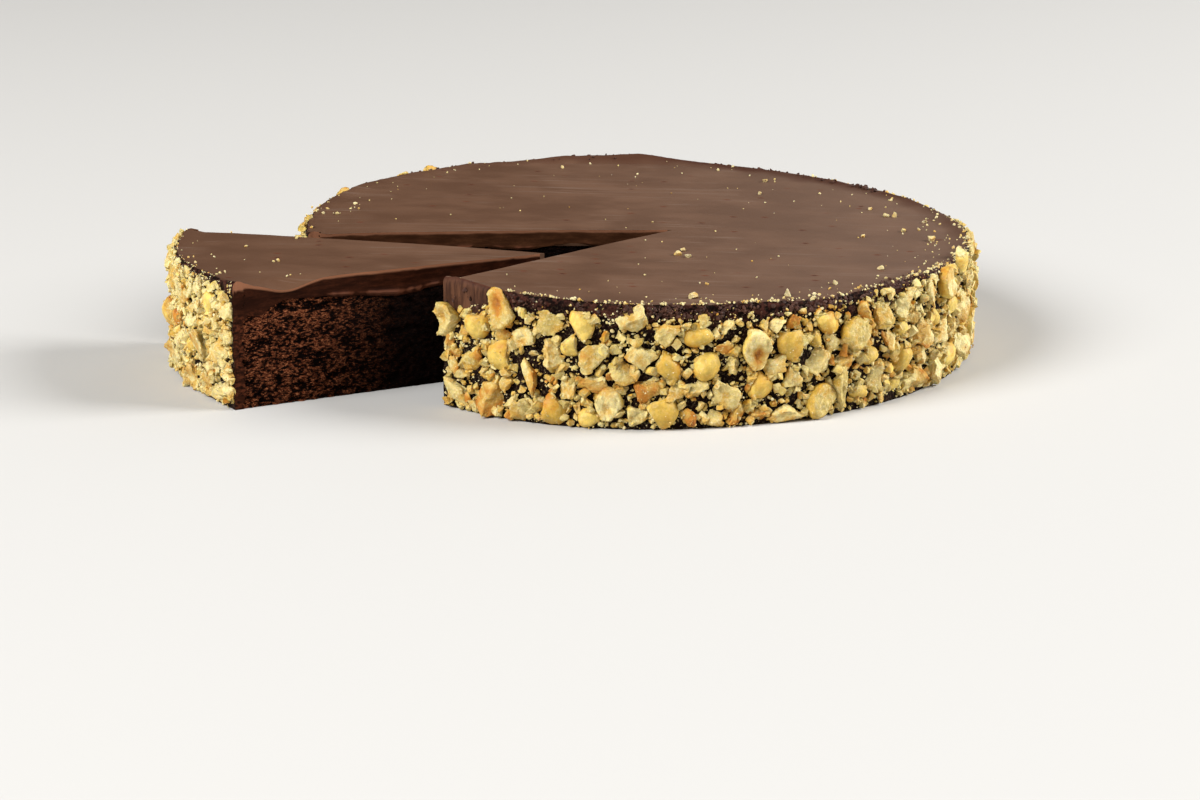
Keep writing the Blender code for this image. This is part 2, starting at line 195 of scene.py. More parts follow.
SLICE_TURN = math.radians(-18.5)
# The wall is looked for again from each better guess, this many times
WALL_ROUNDS = 6
SLICE_PULL = Matrix.Translation(SLICE_TIP) @ Matrix.Rotation(SLICE_TURN, 4, "Z")
SLICE_PULL = SLICE_PULL @ Matrix.Translation(-NOTCH_TIP)


def ramp(values):
    """Values held between 0 and 1."""
    return np.clip(values, 0, 1)


def bell(apart, half):
    """A smooth bump: 1 in its middle, and about a third of that at its half width."""
    return np.exp(-((apart / half) ** 2))


def total(rows, angle):
    """The sum of smooth bumps at an angle, or at each of an array of angles."""
    turn = np.degrees(angle)
    apart = [(turn - at + 180) % 360 - 180 for at, _, _ in rows]
    return sum(row[2] * bell(gap, row[1]) for gap, row in zip(apart, rows))


def wall_radius(angle):
    return CAKE_RADIUS + total(WALL_BUMPS, angle)


def directions(angle):
    return np.stack([np.cos(angle), np.sin(angle)], -1)


def wall_distance(angle):
    """How far the cake's wall is from the tip of the cut-out in these directions."""
    way = directions(angle)
    back = way @ TIP
    around = angle
    for _ in range(WALL_ROUNDS):
        length = np.sqrt(back**2 - TIP @ TIP + wall_radius(around) ** 2) - back
        end = TIP + length[..., None] * way
        around = np.arctan2(end[..., 1], end[..., 0])
    return length


bump_radii = [round(float(wall_radius(math.radians(at))) / MM, 1) for at, _, _ in WALL_BUMPS]
print("wall radius at its bumps:", bump_radii, "mm")

# %% [markdown]
# ## How a layer is turned
# A layer that is cut like a cake is a section swept round the point where the cuts meet. A grid is laid
# in the plane of one cut, bent into the section, and spun round to the other cut. The grid stays at both
# ends as the cut faces, with enough small faces to be roughened later. Two very short first and last
# steps keep the edges of the cut crisp.

# %% Sweep a section round the tip of the cut-out
CUT_EDGE, WELD = math.radians(0.22), 0.001 * MM


def points_of(piece):
    points = np.empty(len(piece.data.vertices) * 3)
    piece.data.vertices.foreach_get("co", points)
    return points.reshape(-1, 3)


def move_points(piece, points):
    piece.data.vertices.foreach_set("co", np.ascontiguousarray(points).ravel())
    piece.data.update()


def swept_layer(name, outer, inner, rows, start, end, steps):
    """A solid sector whose section runs from the outer line to the inner one, each a list of (x, z)."""
    deselect()
    bpy.ops.mesh.primitive_grid_add(x_subdivisions=len(outer) - 1, y_subdivisions=rows, size=1)
    layer = bpy.context.object
    layer.name = name
    grid = points_of(layer)
    along = np.rint((grid[:, 0] + 0.5) * (len(outer) - 1)).astype(int)
    through = (grid[:, 1] + 0.5)[:, None]
    section = np.array(outer)[along] * (1 - through) + np.array(inner)[along] * through
    flat = TIP + section[:, :1] * directions(end)
    move_points(layer, np.column_stack([flat, section[:, 1]]))
    bpy.ops.object.mode_set(mode="EDIT")
    bpy.ops.mesh.select_all(action="SELECT")
    for turn, count in ((CUT_EDGE, 1), (end - start - 2 * CUT_EDGE, steps), (CUT_EDGE, 1)):
        bpy.ops.mesh.spin(steps=count, angle=turn, center=NOTCH_TIP, axis=(0, 0, 1))
    bpy.ops.mesh.select_all(action="SELECT")
    bpy.ops.mesh.remove_doubles(threshold=WELD)
    bpy.ops.mesh.normals_make_consistent(inside=False)
    bpy.ops.object.mode_set(mode="OBJECT")
    return layer


def shade_smooth(piece, sharp_from):
    """Shades a piece smooth, but keeps the edges that bend by more than this, in degrees."""
    deselect()
    piece.select_set(True)
    bpy.context.view_layer.objects.active = piece
    bpy.ops.object.shade_smooth_by_angle(angle=math.radians(sharp_from))


# %% [markdown]
# ## The ganache coat
# Ganache is poured over the cake and sets as one skin, thick on the top and thin down the side. Its
# section follows the flat top, a slightly raised lip, the rounded rim and the side, and comes back up
# inside along the crumb's rounded shoulder.

# %% Draw the coat's section
TOP_COLUMNS, RIM_COLUMNS, SIDE_COLUMNS, COAT_ROWS = 62, 22, 20, 8


def line(start, end, count):
    """Points from start to end, without the last."""
    start, end = np.array(start), np.array(end)
    return [tuple(start + (end - start) * i / count) for i in range(count)]


def bend(centre, width, height, count):
    """A quarter of an oval from its highest point round to its outermost, without the last."""
    turns = [0.5 * math.pi * (1 - i / count) for i in range(count)]
    return [(centre[0] + width * math.cos(t), centre[1] + height * math.sin(t)) for t in turns]


lip_top = CAKE_HEIGHT + LIP_HEIGHT
inner_radius, inner_height = CAKE_RADIUS - GANACHE_SIDE, CAKE_HEIGHT - GANACHE_TOP
lip_start, rim_start = CAKE_RADIUS - LIP_WIDTH, CAKE_RADIUS - RIM_ROUNDING
coat_outer = [
    *line((0, CAKE_HEIGHT), (lip_start, CAKE_HEIGHT), TOP_COLUMNS),
    *line((lip_start, CAKE_HEIGHT), (rim_start, lip_top), RIM_COLUMNS // 2),
    *bend((rim_start, lip_top - RIM_ROUNDING), RIM_ROUNDING, RIM_ROUNDING, RIM_COLUMNS // 2),
    *line((CAKE_RADIUS, lip_top - RIM_ROUNDING), (CAKE_RADIUS, 0), SIDE_COLUMNS),
    (CAKE_RADIUS, 0),
]
shoulder_start, shoulder_foot = inner_radius - SHOULDER_WIDTH, inner_height - SHOULDER_DROP
coat_inner = [
    *line((0, inner_height), (shoulder_start, inner_height), TOP_COLUMNS),
    *bend((shoulder_start, shoulder_foot), SHOULDER_WIDTH, SHOULDER_DROP, RIM_COLUMNS),
    *line((inner_radius, shoulder_foot), (inner_radius, 0), SIDE_COLUMNS),
    (inner_radius, 0),
]
print("the coat's section has", len(coat_outer), "columns by", COAT_ROWS, "rows")

# %% [markdown]
# ## Fitting a layer to the cake
# A swept layer is a perfect round. Here its points are moved out to the real wall, with the rim's own
# width kept, and then the top gets its lean, dips and lumps. A very faint wander is added on top, since
# a poured surface is never quite flat, and a satin finish shows that.

# %% Settle a layer into the uneven cake
RIGID_RIM = 20 * MM
WANDER, WANDER_SIZE, WANDER_SEED = 0.16 * MM, 26 * MM, 3


def wander(points, size, seed):
    """Soft noise between about -1 and 1 at each point."""
    shift = Vector((seed, 2.3 * seed, -seed))
    return np.array([noise.noise(Vector(point) / size + shift) for point in points])


def settled(points):
    """The points of a nominal layer, moved into the shape of the real cake."""
    offset = points[:, :2] - TIP
    reach = np.hypot(*offset.T)
    angle = np.arctan2(offset[:, 1], offset[:, 0])
    wall = wall_distance(angle)
    inside = reach < CAKE_RADIUS - RIGID_RIM
    stretched = reach * (wall - RIGID_RIM) / (CAKE_RADIUS - RIGID_RIM)
    moved = np.where(inside, stretched, reach + wall - CAKE_RADIUS)
    flat = TIP + moved[:, None] * directions(angle)
    around = np.arctan2(flat[:, 1], flat[:, 0])
    height = points[:, 2]
    near_rim = ramp(1 - (CAKE_RADIUS - reach) / LIP_WIDTH)
    near_top = ramp(1 - (lip_top - height) / (RIM_ROUNDING + LIP_HEIGHT))
    lean = TOP_SLOPE * flat[:, 0] + total(TOP_DIPS, around) * (np.hypot(*flat.T) / CAKE_RADIUS) ** 2
    ground = np.column_stack([flat, 0 * height])
    lean += WANDER * wander(ground, WANDER_SIZE, WANDER_SEED)
    ragged = 0.26 * wander(ground, 5 * MM, 8) + 0.2 * wander(ground, 2.1 * MM, 9)
    rise = total(RIM_LUMPS, around) + ragged * MM
    return np.column_stack([flat, height * (1 + lean / CAKE_HEIGHT) + rise * near_rim * near_top])


def paint_points(piece, name, *columns):
    """Stores up to four values for each point, for the material to read. Those left out are 1."""
    rest = [np.ones(len(columns[0]))] * (4 - len(columns))
    values = np.column_stack([*columns, *rest])
    layer = piece.data.attributes.new(name, "FLOAT_COLOR", "POINT")
    layer.data.foreach_set("color", np.ascontiguousarray(values, dtype=np.float32).ravel())


def square_to(angle):
    """The level direction at right angles to a cut."""
    return np.array((-math.sin(angle), math.cos(angle)))


def cut_sides(points, start, end):
    """Which nominal points lie on the first cut and on the second."""
    offset = points[:, :2] - TIP
    sides = []
    for angle in (start, end):
        off = np.abs(offset @ square_to(angle))
        sides.append((off < 2 * WELD) & (offset @ directions(angle) > 0))
    return sides


# %% [markdown]
# ## The smeared edge of the ganache
# A knife pulls soft ganache a little way down over the crumb, so the band's lower edge on a cut face is
# wavy and stands slightly proud. On the front of the slice the smear hangs lowest about half-way along,
# and its edge is a raised ridge, painted paler as a highlight. Along the top of the cut the blade throws
# up a thin reddish burr, painted pale as a highlight.

# %% Smear the coat's cut faces
# Each row is a distance from the tip, a half length, and how far the ganache hangs down there
FRONT_SMEAR = ((54, 12, 3.3), (72, 10, 1.4), (88, 12, 0.6), (34, 8, 1.2), (104, 5, 4.5))
PLAIN_SMEAR = ((52, 9, 1.2), (86, 12, 0.9), (36, 9, -0.9))
SMEAR_PROUD, SMEAR_RIDGE, SMEAR_STREAK = 0.12 * MM, 0.55 * MM, 0.07 * MM
# Where the ridge runs: a share of the band's depth and its half width, then distances from the tip
RIDGE_DEPTH, RIDGE_HALF, RIDGE_FROM, RIDGE_TO, RIDGE_FADE = 0.875, 0.06, 24 * MM, 92 * MM, 9 * MM
KNIFE_BURR, BURR_DEPTH, BURR_LIFT = 0.24 * MM, 0.19, 0.3
TORN_BACK = 1.4 * MM


def hang(rows, reach):
    return sum(depth * MM * bell(reach / MM - at, half) for at, half, depth in rows)


def on_face(along, up):
    """Points of a cut face, for a pattern that runs along it, up it or both."""
    return np.column_stack([along, 0 * along, up])


def smear(points, nominal, on_cut, cut_angle, outward, rows):
    """Pulls the inner edge of the ganache over the crumb on one cut face, and tells where its ridge is."""
    reach = np.hypot(*(points[on_cut, :2] - TIP).T)
    reach_nominal = np.hypot(*(nominal[on_cut, :2] - TIP).T)
    oval = ramp((reach_nominal - shoulder_start) / SHOULDER_WIDTH)
    inner_edge = inner_height - SHOULDER_DROP * (1 - np.sqrt(1 - oval**2))
    depth = ramp((CAKE_HEIGHT - nominal[on_cut, 2]) / (CAKE_HEIGHT - inner_edge))
    on_top = reach_nominal < inner_radius - 0.5 * MM
    fine = wander(on_face(reach, 0 * reach), 5 * MM, cut_angle)
    finer = wander(on_face(reach, 0 * reach), 1.7 * MM, cut_angle + 4)
    fall = hang(rows, reach) + (0.55 * fine + 0.3 * finer) * MM
    fade = ramp((reach - 2 * MM) / (8 * MM))
    points[on_cut, 2] -= fall * fade * on_top * depth**2
    along = ramp((reach - RIDGE_FROM) / RIDGE_FADE) * ramp((RIDGE_TO - reach) / RIDGE_FADE)
    strength = np.clip(0.45 + 1.5 * fine + 1.3 * finer + hang(rows, reach) / (4 * MM), 0, 1.4)
    ridge = bell(depth - RIDGE_DEPTH, RIDGE_HALF) * along * strength
    streak = wander(on_face(reach * 0.15, points[on_cut, 2]), 0.9 * MM, cut_angle)
    burr = ramp(1 - depth / BURR_DEPTH) * np.clip(0.85 + 0.5 * fine + 0.2 * finer, 0, 1.2)
    out = SMEAR_PROUD + (SMEAR_RIDGE * ridge + SMEAR_STREAK * streak) * on_top + KNIFE_BURR * burr
    points[on_cut, :2] += (out * fade)[:, None] * (outward * square_to(cut_angle))
    points[on_cut, 2] += BURR_LIFT * KNIFE_BURR * burr * fade
    upright = on_face(0 * reach, points[on_cut, 2])
    ragged = 0.6 + 1.3 * wander(upright, 4 * MM, cut_angle) + 0.9 * wander(upright, 1.6 * MM, cut_angle + 2)
    within = ramp((CAKE_RADIUS - reach_nominal) / GANACHE_SIDE) * (1 - on_top)
    points[on_cut, :2] -= (TORN_BACK * np.clip(ragged, 0, 2) * within)[:, None] * directions(cut_angle)
    return ridge * on_top, burr


# %% [markdown]
# ## The dragged edge of the slice
# Near the outer end of the slice's front cut the knife dragged the top down over the edge: the surface
# sags there in a soft lobe that stands a little proud of the cut. A smooth bell along the edge, fading
# inwards over seven millimetres, gives that lobe.

# %% Sag the slice's front edge
DRAG_ALONG, DRAG_HALF_LENGTH = 95 * MM, 9 * MM
DRAG_DROP, DRAG_BULGE, DRAG_INWARD, DRAG_EDGE = 2.9 * MM, 1.0 * MM, 7 * MM, 2 * MM


def drag_edge(points):
    offset = points[:, :2] - TIP
    outward = square_to(SLICE_TO)
    inward = -(offset @ outward)
    lobe = bell(offset @ directions(SLICE_TO) - DRAG_ALONG, DRAG_HALF_LENGTH)
    fade = ramp(1 - inward / DRAG_INWARD) ** 2
    level = ramp((points[:, 2] - inner_height) / GANACHE_TOP)
    points[:, 2] -= DRAG_DROP * lobe * fade * level
    near = ramp(1 - inward / DRAG_EDGE)
    points[:, :2] += (DRAG_BULGE * lobe * near * level**2)[:, None] * outward


def pulled(points):
    """Moves the slice's points from where it was baked to where it was drawn."""
    return points @ np.array(SLICE_PULL.to_3x3()).T + np.array(SLICE_PULL.translation)


# %% [markdown]
# ## Side, bare band and rim
# The coat's finish changes from place to place. Its side is torn and full of crumbs, save for a band at
# the front that was smoothed with a palette knife, and the rim of the top is redder, and darker by painted
# shade. These values are worked out from where each point lies and stored with it, so the finish follows
# the shape.

# %% Tell the side, the bare band and the rim apart
# Between these angles the side was smoothed with a palette knife and carries few nuts near its rim
BARE_BAND, BARE_ABOVE, BARE_FADE = (222, 247), 30 * MM, 4
# The rim of the top is redder, and darker by painted shade, most of all at the back on the right
RIM_SHADE_AT, RIM_SHADE_HALF, RIM_SHADE_LEAST, RIM_SHADE_WIDTH = 58, 62, 0.15, 11 * MM
SIDE_FROM, SIDE_FADE = 1.1 * MM, 0.5 * MM
LIP_LINE, LIP_LINE_HALF = 0.8 * MM, 0.9 * MM


def side_values(points, reach, turn, is_slice):
    """How far each point belongs to the side, and how far it was smoothed bare."""
    side = ramp((reach - CAKE_RADIUS + SIDE_FROM + 0.5 * MM * wander(points, 2.6 * MM, 7)) / SIDE_FADE)
    above = ramp((points[:, 2] - BARE_ABOVE) / (3 * MM) + 0.6 * wander(points, 3 * MM, 12))
    bare = ramp((BARE_BAND[1] - turn) / BARE_FADE) * (turn > BARE_BAND[0]) * above * (not is_slice)
    return side, bare


def rim_values(points, reach, turn, is_slice):
    """How red the rim of the top is and how dark its painted shade, and where its torn lip runs along the
    bare band.
    """
    apart = (turn - RIM_SHADE_AT + 180) % 360 - 180
    shaded = RIM_SHADE_LEAST + (1 - RIM_SHADE_LEAST) * bell(apart, RIM_SHADE_HALF)
    deep = RIM_SHADE_WIDTH * (0.5 + 0.5 * shaded) * (1 + 0.5 * wander(points, 9 * MM, 21))
    edge = ramp(1.5 * (1 - (CAKE_RADIUS - reach) / deep))
    lip = ramp(1 - np.abs(CAKE_RADIUS - LIP_LINE - reach) / LIP_LINE_HALF) * (points[:, 2] > BARE_ABOVE)
    lip *= (turn > BARE_BAND[0] - BARE_FADE) * (turn < BARE_BAND[1]) * (not is_slice)
    return edge * shaded, lip


# %% Build the two coats
TOP_SLOT, TORN_SLOT, CUT_SLOT = range(3)
COAT_SHARP_FROM = 42


def give_slots(coat, on_cut, torn):
    """Each face whose corners are all on a cut, or all torn, gets the slot for that."""
    for polygon in coat.data.polygons:
        corners = list(polygon.vertices)
        polygon.material_index = TORN_SLOT if torn[corners].all() else TOP_SLOT
        if on_cut[corners].all():
            polygon.material_index = CUT_SLOT


def make_coat(name, start, end, steps, is_slice):
    coat = swept_layer(name, coat_outer, coat_inner, COAT_ROWS, start, end, steps)
    nominal = points_of(coat)
    points = settled(nominal)
    cuts = cut_sides(nominal, start, end)
    ridge, burr = np.zeros(len(points)), np.zeros(len(points))
    hangs = (PLAIN_SMEAR, FRONT_SMEAR if is_slice else PLAIN_SMEAR)
    for on_cut, angle, outward, rows in zip(cuts, (start, end), (-1, 1), hangs):
        ridge[on_cut], burr[on_cut] = smear(points, nominal, on_cut, angle, outward, rows)
    reach = np.hypot(*(nominal[:, :2] - TIP).T)
    around = np.arctan2(points[:, 1], points[:, 0])
    turn = np.degrees(around) % 360
    side, bare = side_values(points, reach, turn, is_slice)
    rough = 0.4 * wander(points, 4.5 * MM, 5) + 0.3 * wander(points, 1.9 * MM, 6)
    points[:, :2] += (rough * side * (1 - 0.85 * bare) * MM)[:, None] * directions(around)
    if is_slice:
        drag_edge(points)
        points = pulled(points)
    move_points(coat, points)
    paint_points(coat, "zone", burr, side, bare, ridge)
    paint_points(coat, "rim", *rim_values(points, reach, turn, is_slice))
    give_slots(coat, cuts[0] | cuts[1], (side > 0.5) & (bare < 0.5))
    shade_smooth(coat, COAT_SHARP_FROM)
    print(name, len(coat.data.polygons), "faces")
    return coat


CAKE_STEPS, SLICE_STEPS = 360, 56
cake_coat = make_coat("cake_coat", NOTCH_TO, NOTCH_FROM + math.tau, CAKE_STEPS, False)
slice_coat = make_coat("slice_coat", SLICE_FROM, SLICE_TO, SLICE_STEPS, True)

# %% [markdown]
# ## The crumb
# A flourless cake is dense and moist. Cut with a knife it shows a dark, close crumb with fine pits and
# torn grains, pulled a little sideways by the blade. The crumb is swept in the same way as the coat,
# from a finer grid, and only its cut faces are roughened.

# %% Tear the crumb
# Each row is a distance from the tip, a height and a half size: here the knife smoothed the crumb over
SMOOTHED = ((105, 31, 8), (72, 26, 7))
# How much of the relief is close grain, torn waves and deeper pits, in millimetres
CLOSE_GRAIN, TORN_WAVES, DEEP_PITS = 0.9, 0.34, 1.3


def crumb_grain(reach, height, seed):
    """How far the torn crumb stands out, in millimetres, at points of a cut face."""
    relief = np.empty(len(reach))
    for index, (along, up) in enumerate(zip(reach / MM, height / MM)):
        place = Vector((along * 0.6, up, seed))
        grain = 0.45 - noise.voronoi(place * 0.85)[0][0]
        torn = noise.fractal(place * 0.42, 0.9, 2.1, 3)
        pit = min(0.0, noise.noise(Vector((along * 0.17, up * 0.33, seed + 9))) + 0.12)
        smooth = 0
        for x, z, size in SMOOTHED:
            smooth += math.exp(-(((along - x) / size) ** 2) - ((up - z) / size) ** 2)
        rough = CLOSE_GRAIN * grain + TORN_WAVES * torn + DEEP_PITS * pit
        relief[index] = rough * (1 - 0.8 * min(1, smooth)) + 0.06 * smooth
    return relief


# %% Build the two crumbs
CRUMB_TOP_COLUMNS, CRUMB_RIM_COLUMNS, CRUMB_ROWS = 190, 20, 70
CRUMB_RECESS, CRUMB_PROUD_MOST, CRUMB_FADE = 0.2 * MM, 0.35 * MM, 4 * MM
CRUMB_SHARP_FROM = 60


def make_crumb(name, start, end, steps, is_slice):
    top = [
        *line((0, inner_height), (shoulder_start, inner_height), CRUMB_TOP_COLUMNS),
        *bend((shoulder_start, shoulder_foot), SHOULDER_WIDTH, SHOULDER_DROP, CRUMB_RIM_COLUMNS),
        (inner_radius, shoulder_foot),
    ]
    foot = [(x, 0) for x, _ in top]
    crumb = swept_layer(name, top, foot, CRUMB_ROWS, start, end, steps)
    nominal = points_of(crumb)
    points = settled(nominal)
    torn, outer = np.zeros(len(points)), np.zeros(len(points))
    for on_cut, angle, outward in zip(cut_sides(nominal, start, end), (start, end), (-1, 1)):
        reach = np.hypot(*(points[on_cut, :2] - TIP).T)
        relief = crumb_grain(reach, points[on_cut, 2], 10 * angle + outward)
        torn[on_cut], outer[on_cut] = relief, reach / CAKE_RADIUS
        out = (relief * MM - CRUMB_RECESS) * ramp(reach / CRUMB_FADE)
        away = outward * square_to(angle)
        points[on_cut, :2] += np.minimum(out, CRUMB_PROUD_MOST)[:, None] * away
    if is_slice:
        points = pulled(points)
    move_points(crumb, points)
    paint_points(crumb, "torn", ramp(0.5 + torn), outer)
    shade_smooth(crumb, CRUMB_SHARP_FROM)
    span = (round(torn.min(), 2), round(torn.max(), 2))
    print(name, len(crumb.data.polygons), "faces, relief between", span, "mm")
    return crumb


CRUMB_CAKE_STEPS, CRUMB_SLICE_STEPS = 70, 14
cake_crumb = make_crumb("cake_crumb_cut", NOTCH_TO, NOTCH_FROM + math.tau, CRUMB_CAKE_STEPS, False)
slice_crumb = make_crumb("slice_crumb_cut", SLICE_FROM, SLICE_TO, CRUMB_SLICE_STEPS, True)

# %% [markdown]
# ## Kinds of chopped hazelnut
# A toasted kernel breaks in a few typical ways: into halves that lie with their round skin outwards,
# into halves that show the toasted hollow between them, into blocky chips with flat broken facets and a
# patch of skin, into wedges, splinters and round slices. Each kind is cut from an uneven kernel with
# flat cuts, as a kitchen knife does. A remesh in small even faces then rounds its broken edges a little.

# %% Shape a whole kernel
KERNEL_DETAIL, ICO_FACES = 3, 20
KERNEL_TAPER, KERNEL_UNEVEN, KERNEL_WAVES = 0.34, 0.1, 0.6


def vector_wander(points, size, seed):
    """Soft noise in all three directions at each point."""
    return np.column_stack([wander(points, size, seed + k) for k in range(3)])


def rounded_kernel(name, seed, detail=KERNEL_DETAIL):
    """A hazelnut kernel one unit long, its point along +X, never quite round."""
    deselect()
    bpy.ops.mesh.primitive_ico_sphere_add(subdivisions=detail, radius=0.5)
    kernel = bpy.context.object
    kernel.name = name
    points = points_of(kernel)
    taper = 1 - KERNEL_TAPER * ramp(points[:, 0] / 0.5) ** 2
    points[:, 1:] *= taper[:, None]
    points += KERNEL_UNEVEN * vector_wander(points, KERNEL_WAVES, seed)
    move_points(kernel, points)
    return kernel


print("a whole kernel is cut from", ICO_FACES * 4 ** (KERNEL_DETAIL - 1), "triangles")

# %% Cut a kernel into chips
DOWN = Vector((0, 0, -1))
CHIP_VOXEL, CHIP_SOFTENING, SMALL_CHIP_SOFTENING = 0.062, 0.5, 0.3


def cut_kernel(kernel, cuts):
    """Cuts the kernel by planes, each a point and the direction of the part that falls away."""
    bpy.ops.object.mode_set(mode="EDIT")
    for place, away in cuts:
        bpy.ops.mesh.select_all(action="SELECT")
        bpy.ops.mesh.bisect(plane_co=place, plane_no=away, use_fill=True, clear_outer=True, threshold=0.0005)
        shape = bmesh.from_edit_mesh(kernel.data)
        for face in shape.faces:
            if face.select:
                face.material_index = 1
    bpy.ops.mesh.select_all(action="DESELECT")


def in_triangles(softening):
    """Softens the corners, splits every face into triangles, and leaves edit mode."""
    bpy.ops.mesh.select_all(action="SELECT")
    bpy.ops.mesh.vertices_smooth(factor=softening, repeat=1)
    bpy.ops.mesh.quads_convert_to_tris(ngon_method="BEAUTY")
    bpy.ops.mesh.normals_make_consistent(inside=False)
    bpy.ops.object.mode_set(mode="OBJECT")


def wear_down(kernel, voxel):
    """Remeshes a cut chip in small even faces, which rounds its broken edges, and keeps what is skin."""
    bpy.ops.object.mode_set(mode="OBJECT")
    data = kernel.data
    corners = [vertex.co.copy() for vertex in data.vertices]
    surface = BVHTree.FromPolygons(corners, [list(polygon.vertices) for polygon in data.polygons])
    broken = [polygon.material_index for polygon in data.polygons]
    remesh = kernel.modifiers.new("even faces", "REMESH")
    remesh.mode = "VOXEL"
    remesh.voxel_size = voxel
    bpy.ops.object.modifier_apply(modifier=remesh.name)
    bpy.ops.object.mode_set(mode="EDIT")
    in_triangles(CHIP_SOFTENING)
    for polygon in kernel.data.polygons:
        polygon.material_index = broken[surface.find_nearest(polygon.center)[2]]


# %% Keep a chip's shape
# Each row is the size of the waves on a broken face and their share of its roughness
BROKEN_WAVES = ((0.3, 1.0), (0.11, 0.55))
HOLLOW_TOAST_HALF = 0.23


def from_middle(points, middle):
    """How far points are from the middle of a hollow, which is longer than it is wide."""
    return np.hypot(points[:, 0] - middle[0], 1.2 * (points[:, 1] - middle[1]))


def taken_shape(kernel, roughness, seed, hollow=None):
    """The chip's points in a unit box, its triangles, and how much of each point is skin and toasted."""
    data = kernel.data
    points = points_of(kernel)
    faces = np.array([list(polygon.vertices) for polygon in data.polygons])
    broken, count = np.zeros(len(points)), np.zeros(len(points))
    for corners, polygon in zip(faces, data.polygons):
        broken[corners] += polygon.material_index
        count[corners] += 1
    skin = 1 - broken / np.maximum(count, 1)
    way = Vector([math.sin(7.3 * seed), math.sin(3.1 * seed + 1), math.sin(5.7 * seed + 2)]).normalized()
    toast = ramp(0.5 + 1.3 * points @ np.array(way)) ** 1.6
    if hollow:
        dished = bell(from_middle(points, hollow), HOLLOW_TOAST_HALF) * (skin < 0.5)
        toast = np.maximum(0.15 * toast - 0.1, dished)
    for size, share in BROKEN_WAVES:
        rough = roughness * share * (1 - 0.6 * skin)
        points = points + rough[:, None] * vector_wander(points, size, seed)
    low, high = points.min(0), points.max(0)
    unit = (points - 0.5 * (low + high)) / (high - low)
    unit[:, 2] += 0.5
    bpy.data.objects.remove(kernel)
    return {"points": unit, "faces": faces, "skin": skin, "toast": toast}


def finished_chip(kernel, cuts, roughness, seed, voxel=CHIP_VOXEL, hollow=None):
    """Cuts a kernel, rounds its broken edges and keeps the shape. Without a voxel it is only softened."""
    cut_kernel(kernel, cuts)
    if voxel:
        wear_down(kernel, voxel)
    else:
        in_triangles(SMALL_CHIP_SOFTENING)
    return taken_shape(kernel, roughness, seed, hollow)


# %% Model each kind once
CHIP_ROUGHNESS, FACET_ROUGHNESS = 0.05, 0.075
DISH_DEPTH, DISH_HALF, BLOCK_SIDES = 0.16, 0.19, 4


def side_cuts(draw, count, nearest, furthest):
    """Steep cuts round a chip, spread over its outline."""
    start = draw.uniform(0, math.tau)
    cuts = []
    for number in range(count):
        turn = start + math.tau * (number + draw.uniform(-0.25, 0.25)) / max(count, 3)
        away = Vector((math.cos(turn), math.sin(turn), draw.uniform(-0.3, 0.3))).normalized()
        cuts.append((away * draw.uniform(nearest, furthest), away))
    return cuts


def half_skin_out(name, seed):
    """A dome of skin with one to three sides broken off."""
    draw = random.Random(seed)
    cuts = [((0, 0, -0.04), DOWN), *side_cuts(draw, draw.choice((1, 2, 2, 3)), 0.2, 0.38)]
    return finished_chip(rounded_kernel(name, seed), cuts, CHIP_ROUGHNESS, seed)


def half_hollow_out(name, seed):
    """The inner face of a split kernel: a pale rim round a soft toasted dish."""
    kernel = rounded_kernel(name, seed)
    draw = random.Random(seed)
    for polygon in kernel.data.polygons:
        polygon.material_index = int(polygon.center.z > 0)
    points = points_of(kernel)
    middle = (draw.uniform(-0.14, 0.1), draw.uniform(-0.09, 0.09))
    dish = -DISH_DEPTH * bell(from_middle(points, middle), DISH_HALF) + 0.04 * wander(points, 0.15, seed)
    points[:, 2] = np.where(points[:, 2] > 0, dish, points[:, 2])
    move_points(kernel, points)
    cuts = [((0, 0, -0.3), DOWN), *side_cuts(draw, draw.choice((1, 2, 2)), 0.24, 0.4)]
    return finished_chip(kernel, cuts, CHIP_ROUGHNESS, seed, hollow=middle)


def block(name, seed, detail=KERNEL_DETAIL, voxel=CHIP_VOXEL):
    """A chip with several broken facets and some skin left. The smallest ones aren't remeshed."""
    draw = random.Random(seed)
    cuts = side_cuts(draw, BLOCK_SIDES, 0.14, 0.34)
    for _ in range(2):
        away = Vector((draw.gauss(0, 0.5), draw.gauss(0, 0.5), 1)).normalized()
        cuts.append((away * draw.uniform(0.05, 0.26), away))
    return finished_chip(rounded_kernel(name, seed, detail), cuts, FACET_ROUGHNESS, seed, voxel)


def wedge(name, seed):
    """A quarter kernel, its broken ridge outwards."""
    draw = random.Random(seed)
    tilt = draw.uniform(-0.25, 0.25)
    ridge = (0, 0, 0.1)
    cuts = [(ridge, (0.1, 0.8, 0.7 + tilt)), (ridge, (-0.1, -0.8, 0.7 - tilt)), ((0, 0, -0.25), DOWN)]
    cuts += side_cuts(draw, draw.choice((1, 2)), 0.2, 0.36)
    return finished_chip(rounded_kernel(name, seed), cuts, FACET_ROUGHNESS, seed)


def splinter(name, seed):
    """A thin slice off the side of a kernel, its broken face outwards."""
    draw = random.Random(seed)
    cuts = [((0, 0, 0.18), (0.1, 0.15, 1)), ((0, 0, -0.05), (draw.uniform(-0.2, 0.2), 0.2, -1))]
    cuts += side_cuts(draw, 3, 0.14, 0.36)
    return finished_chip(rounded_kernel(name, seed), cuts, CHIP_ROUGHNESS, seed, 0.8 * CHIP_VOXEL)


def round_slice(name, seed):
    """A slice across a kernel, with its outline partly broken."""
    kernel = rounded_kernel(name, seed)
    draw = random.Random(seed)
    move_points(kernel, points_of(kernel)[:, [1, 2, 0]])
    cuts = [((0, 0, 0.12), (0.1, 0, 1)), ((0, 0, -0.22), DOWN), *side_cuts(draw, 1, 0.34, 0.42)]
    return finished_chip(kernel, cuts, CHIP_ROUGHNESS, seed)


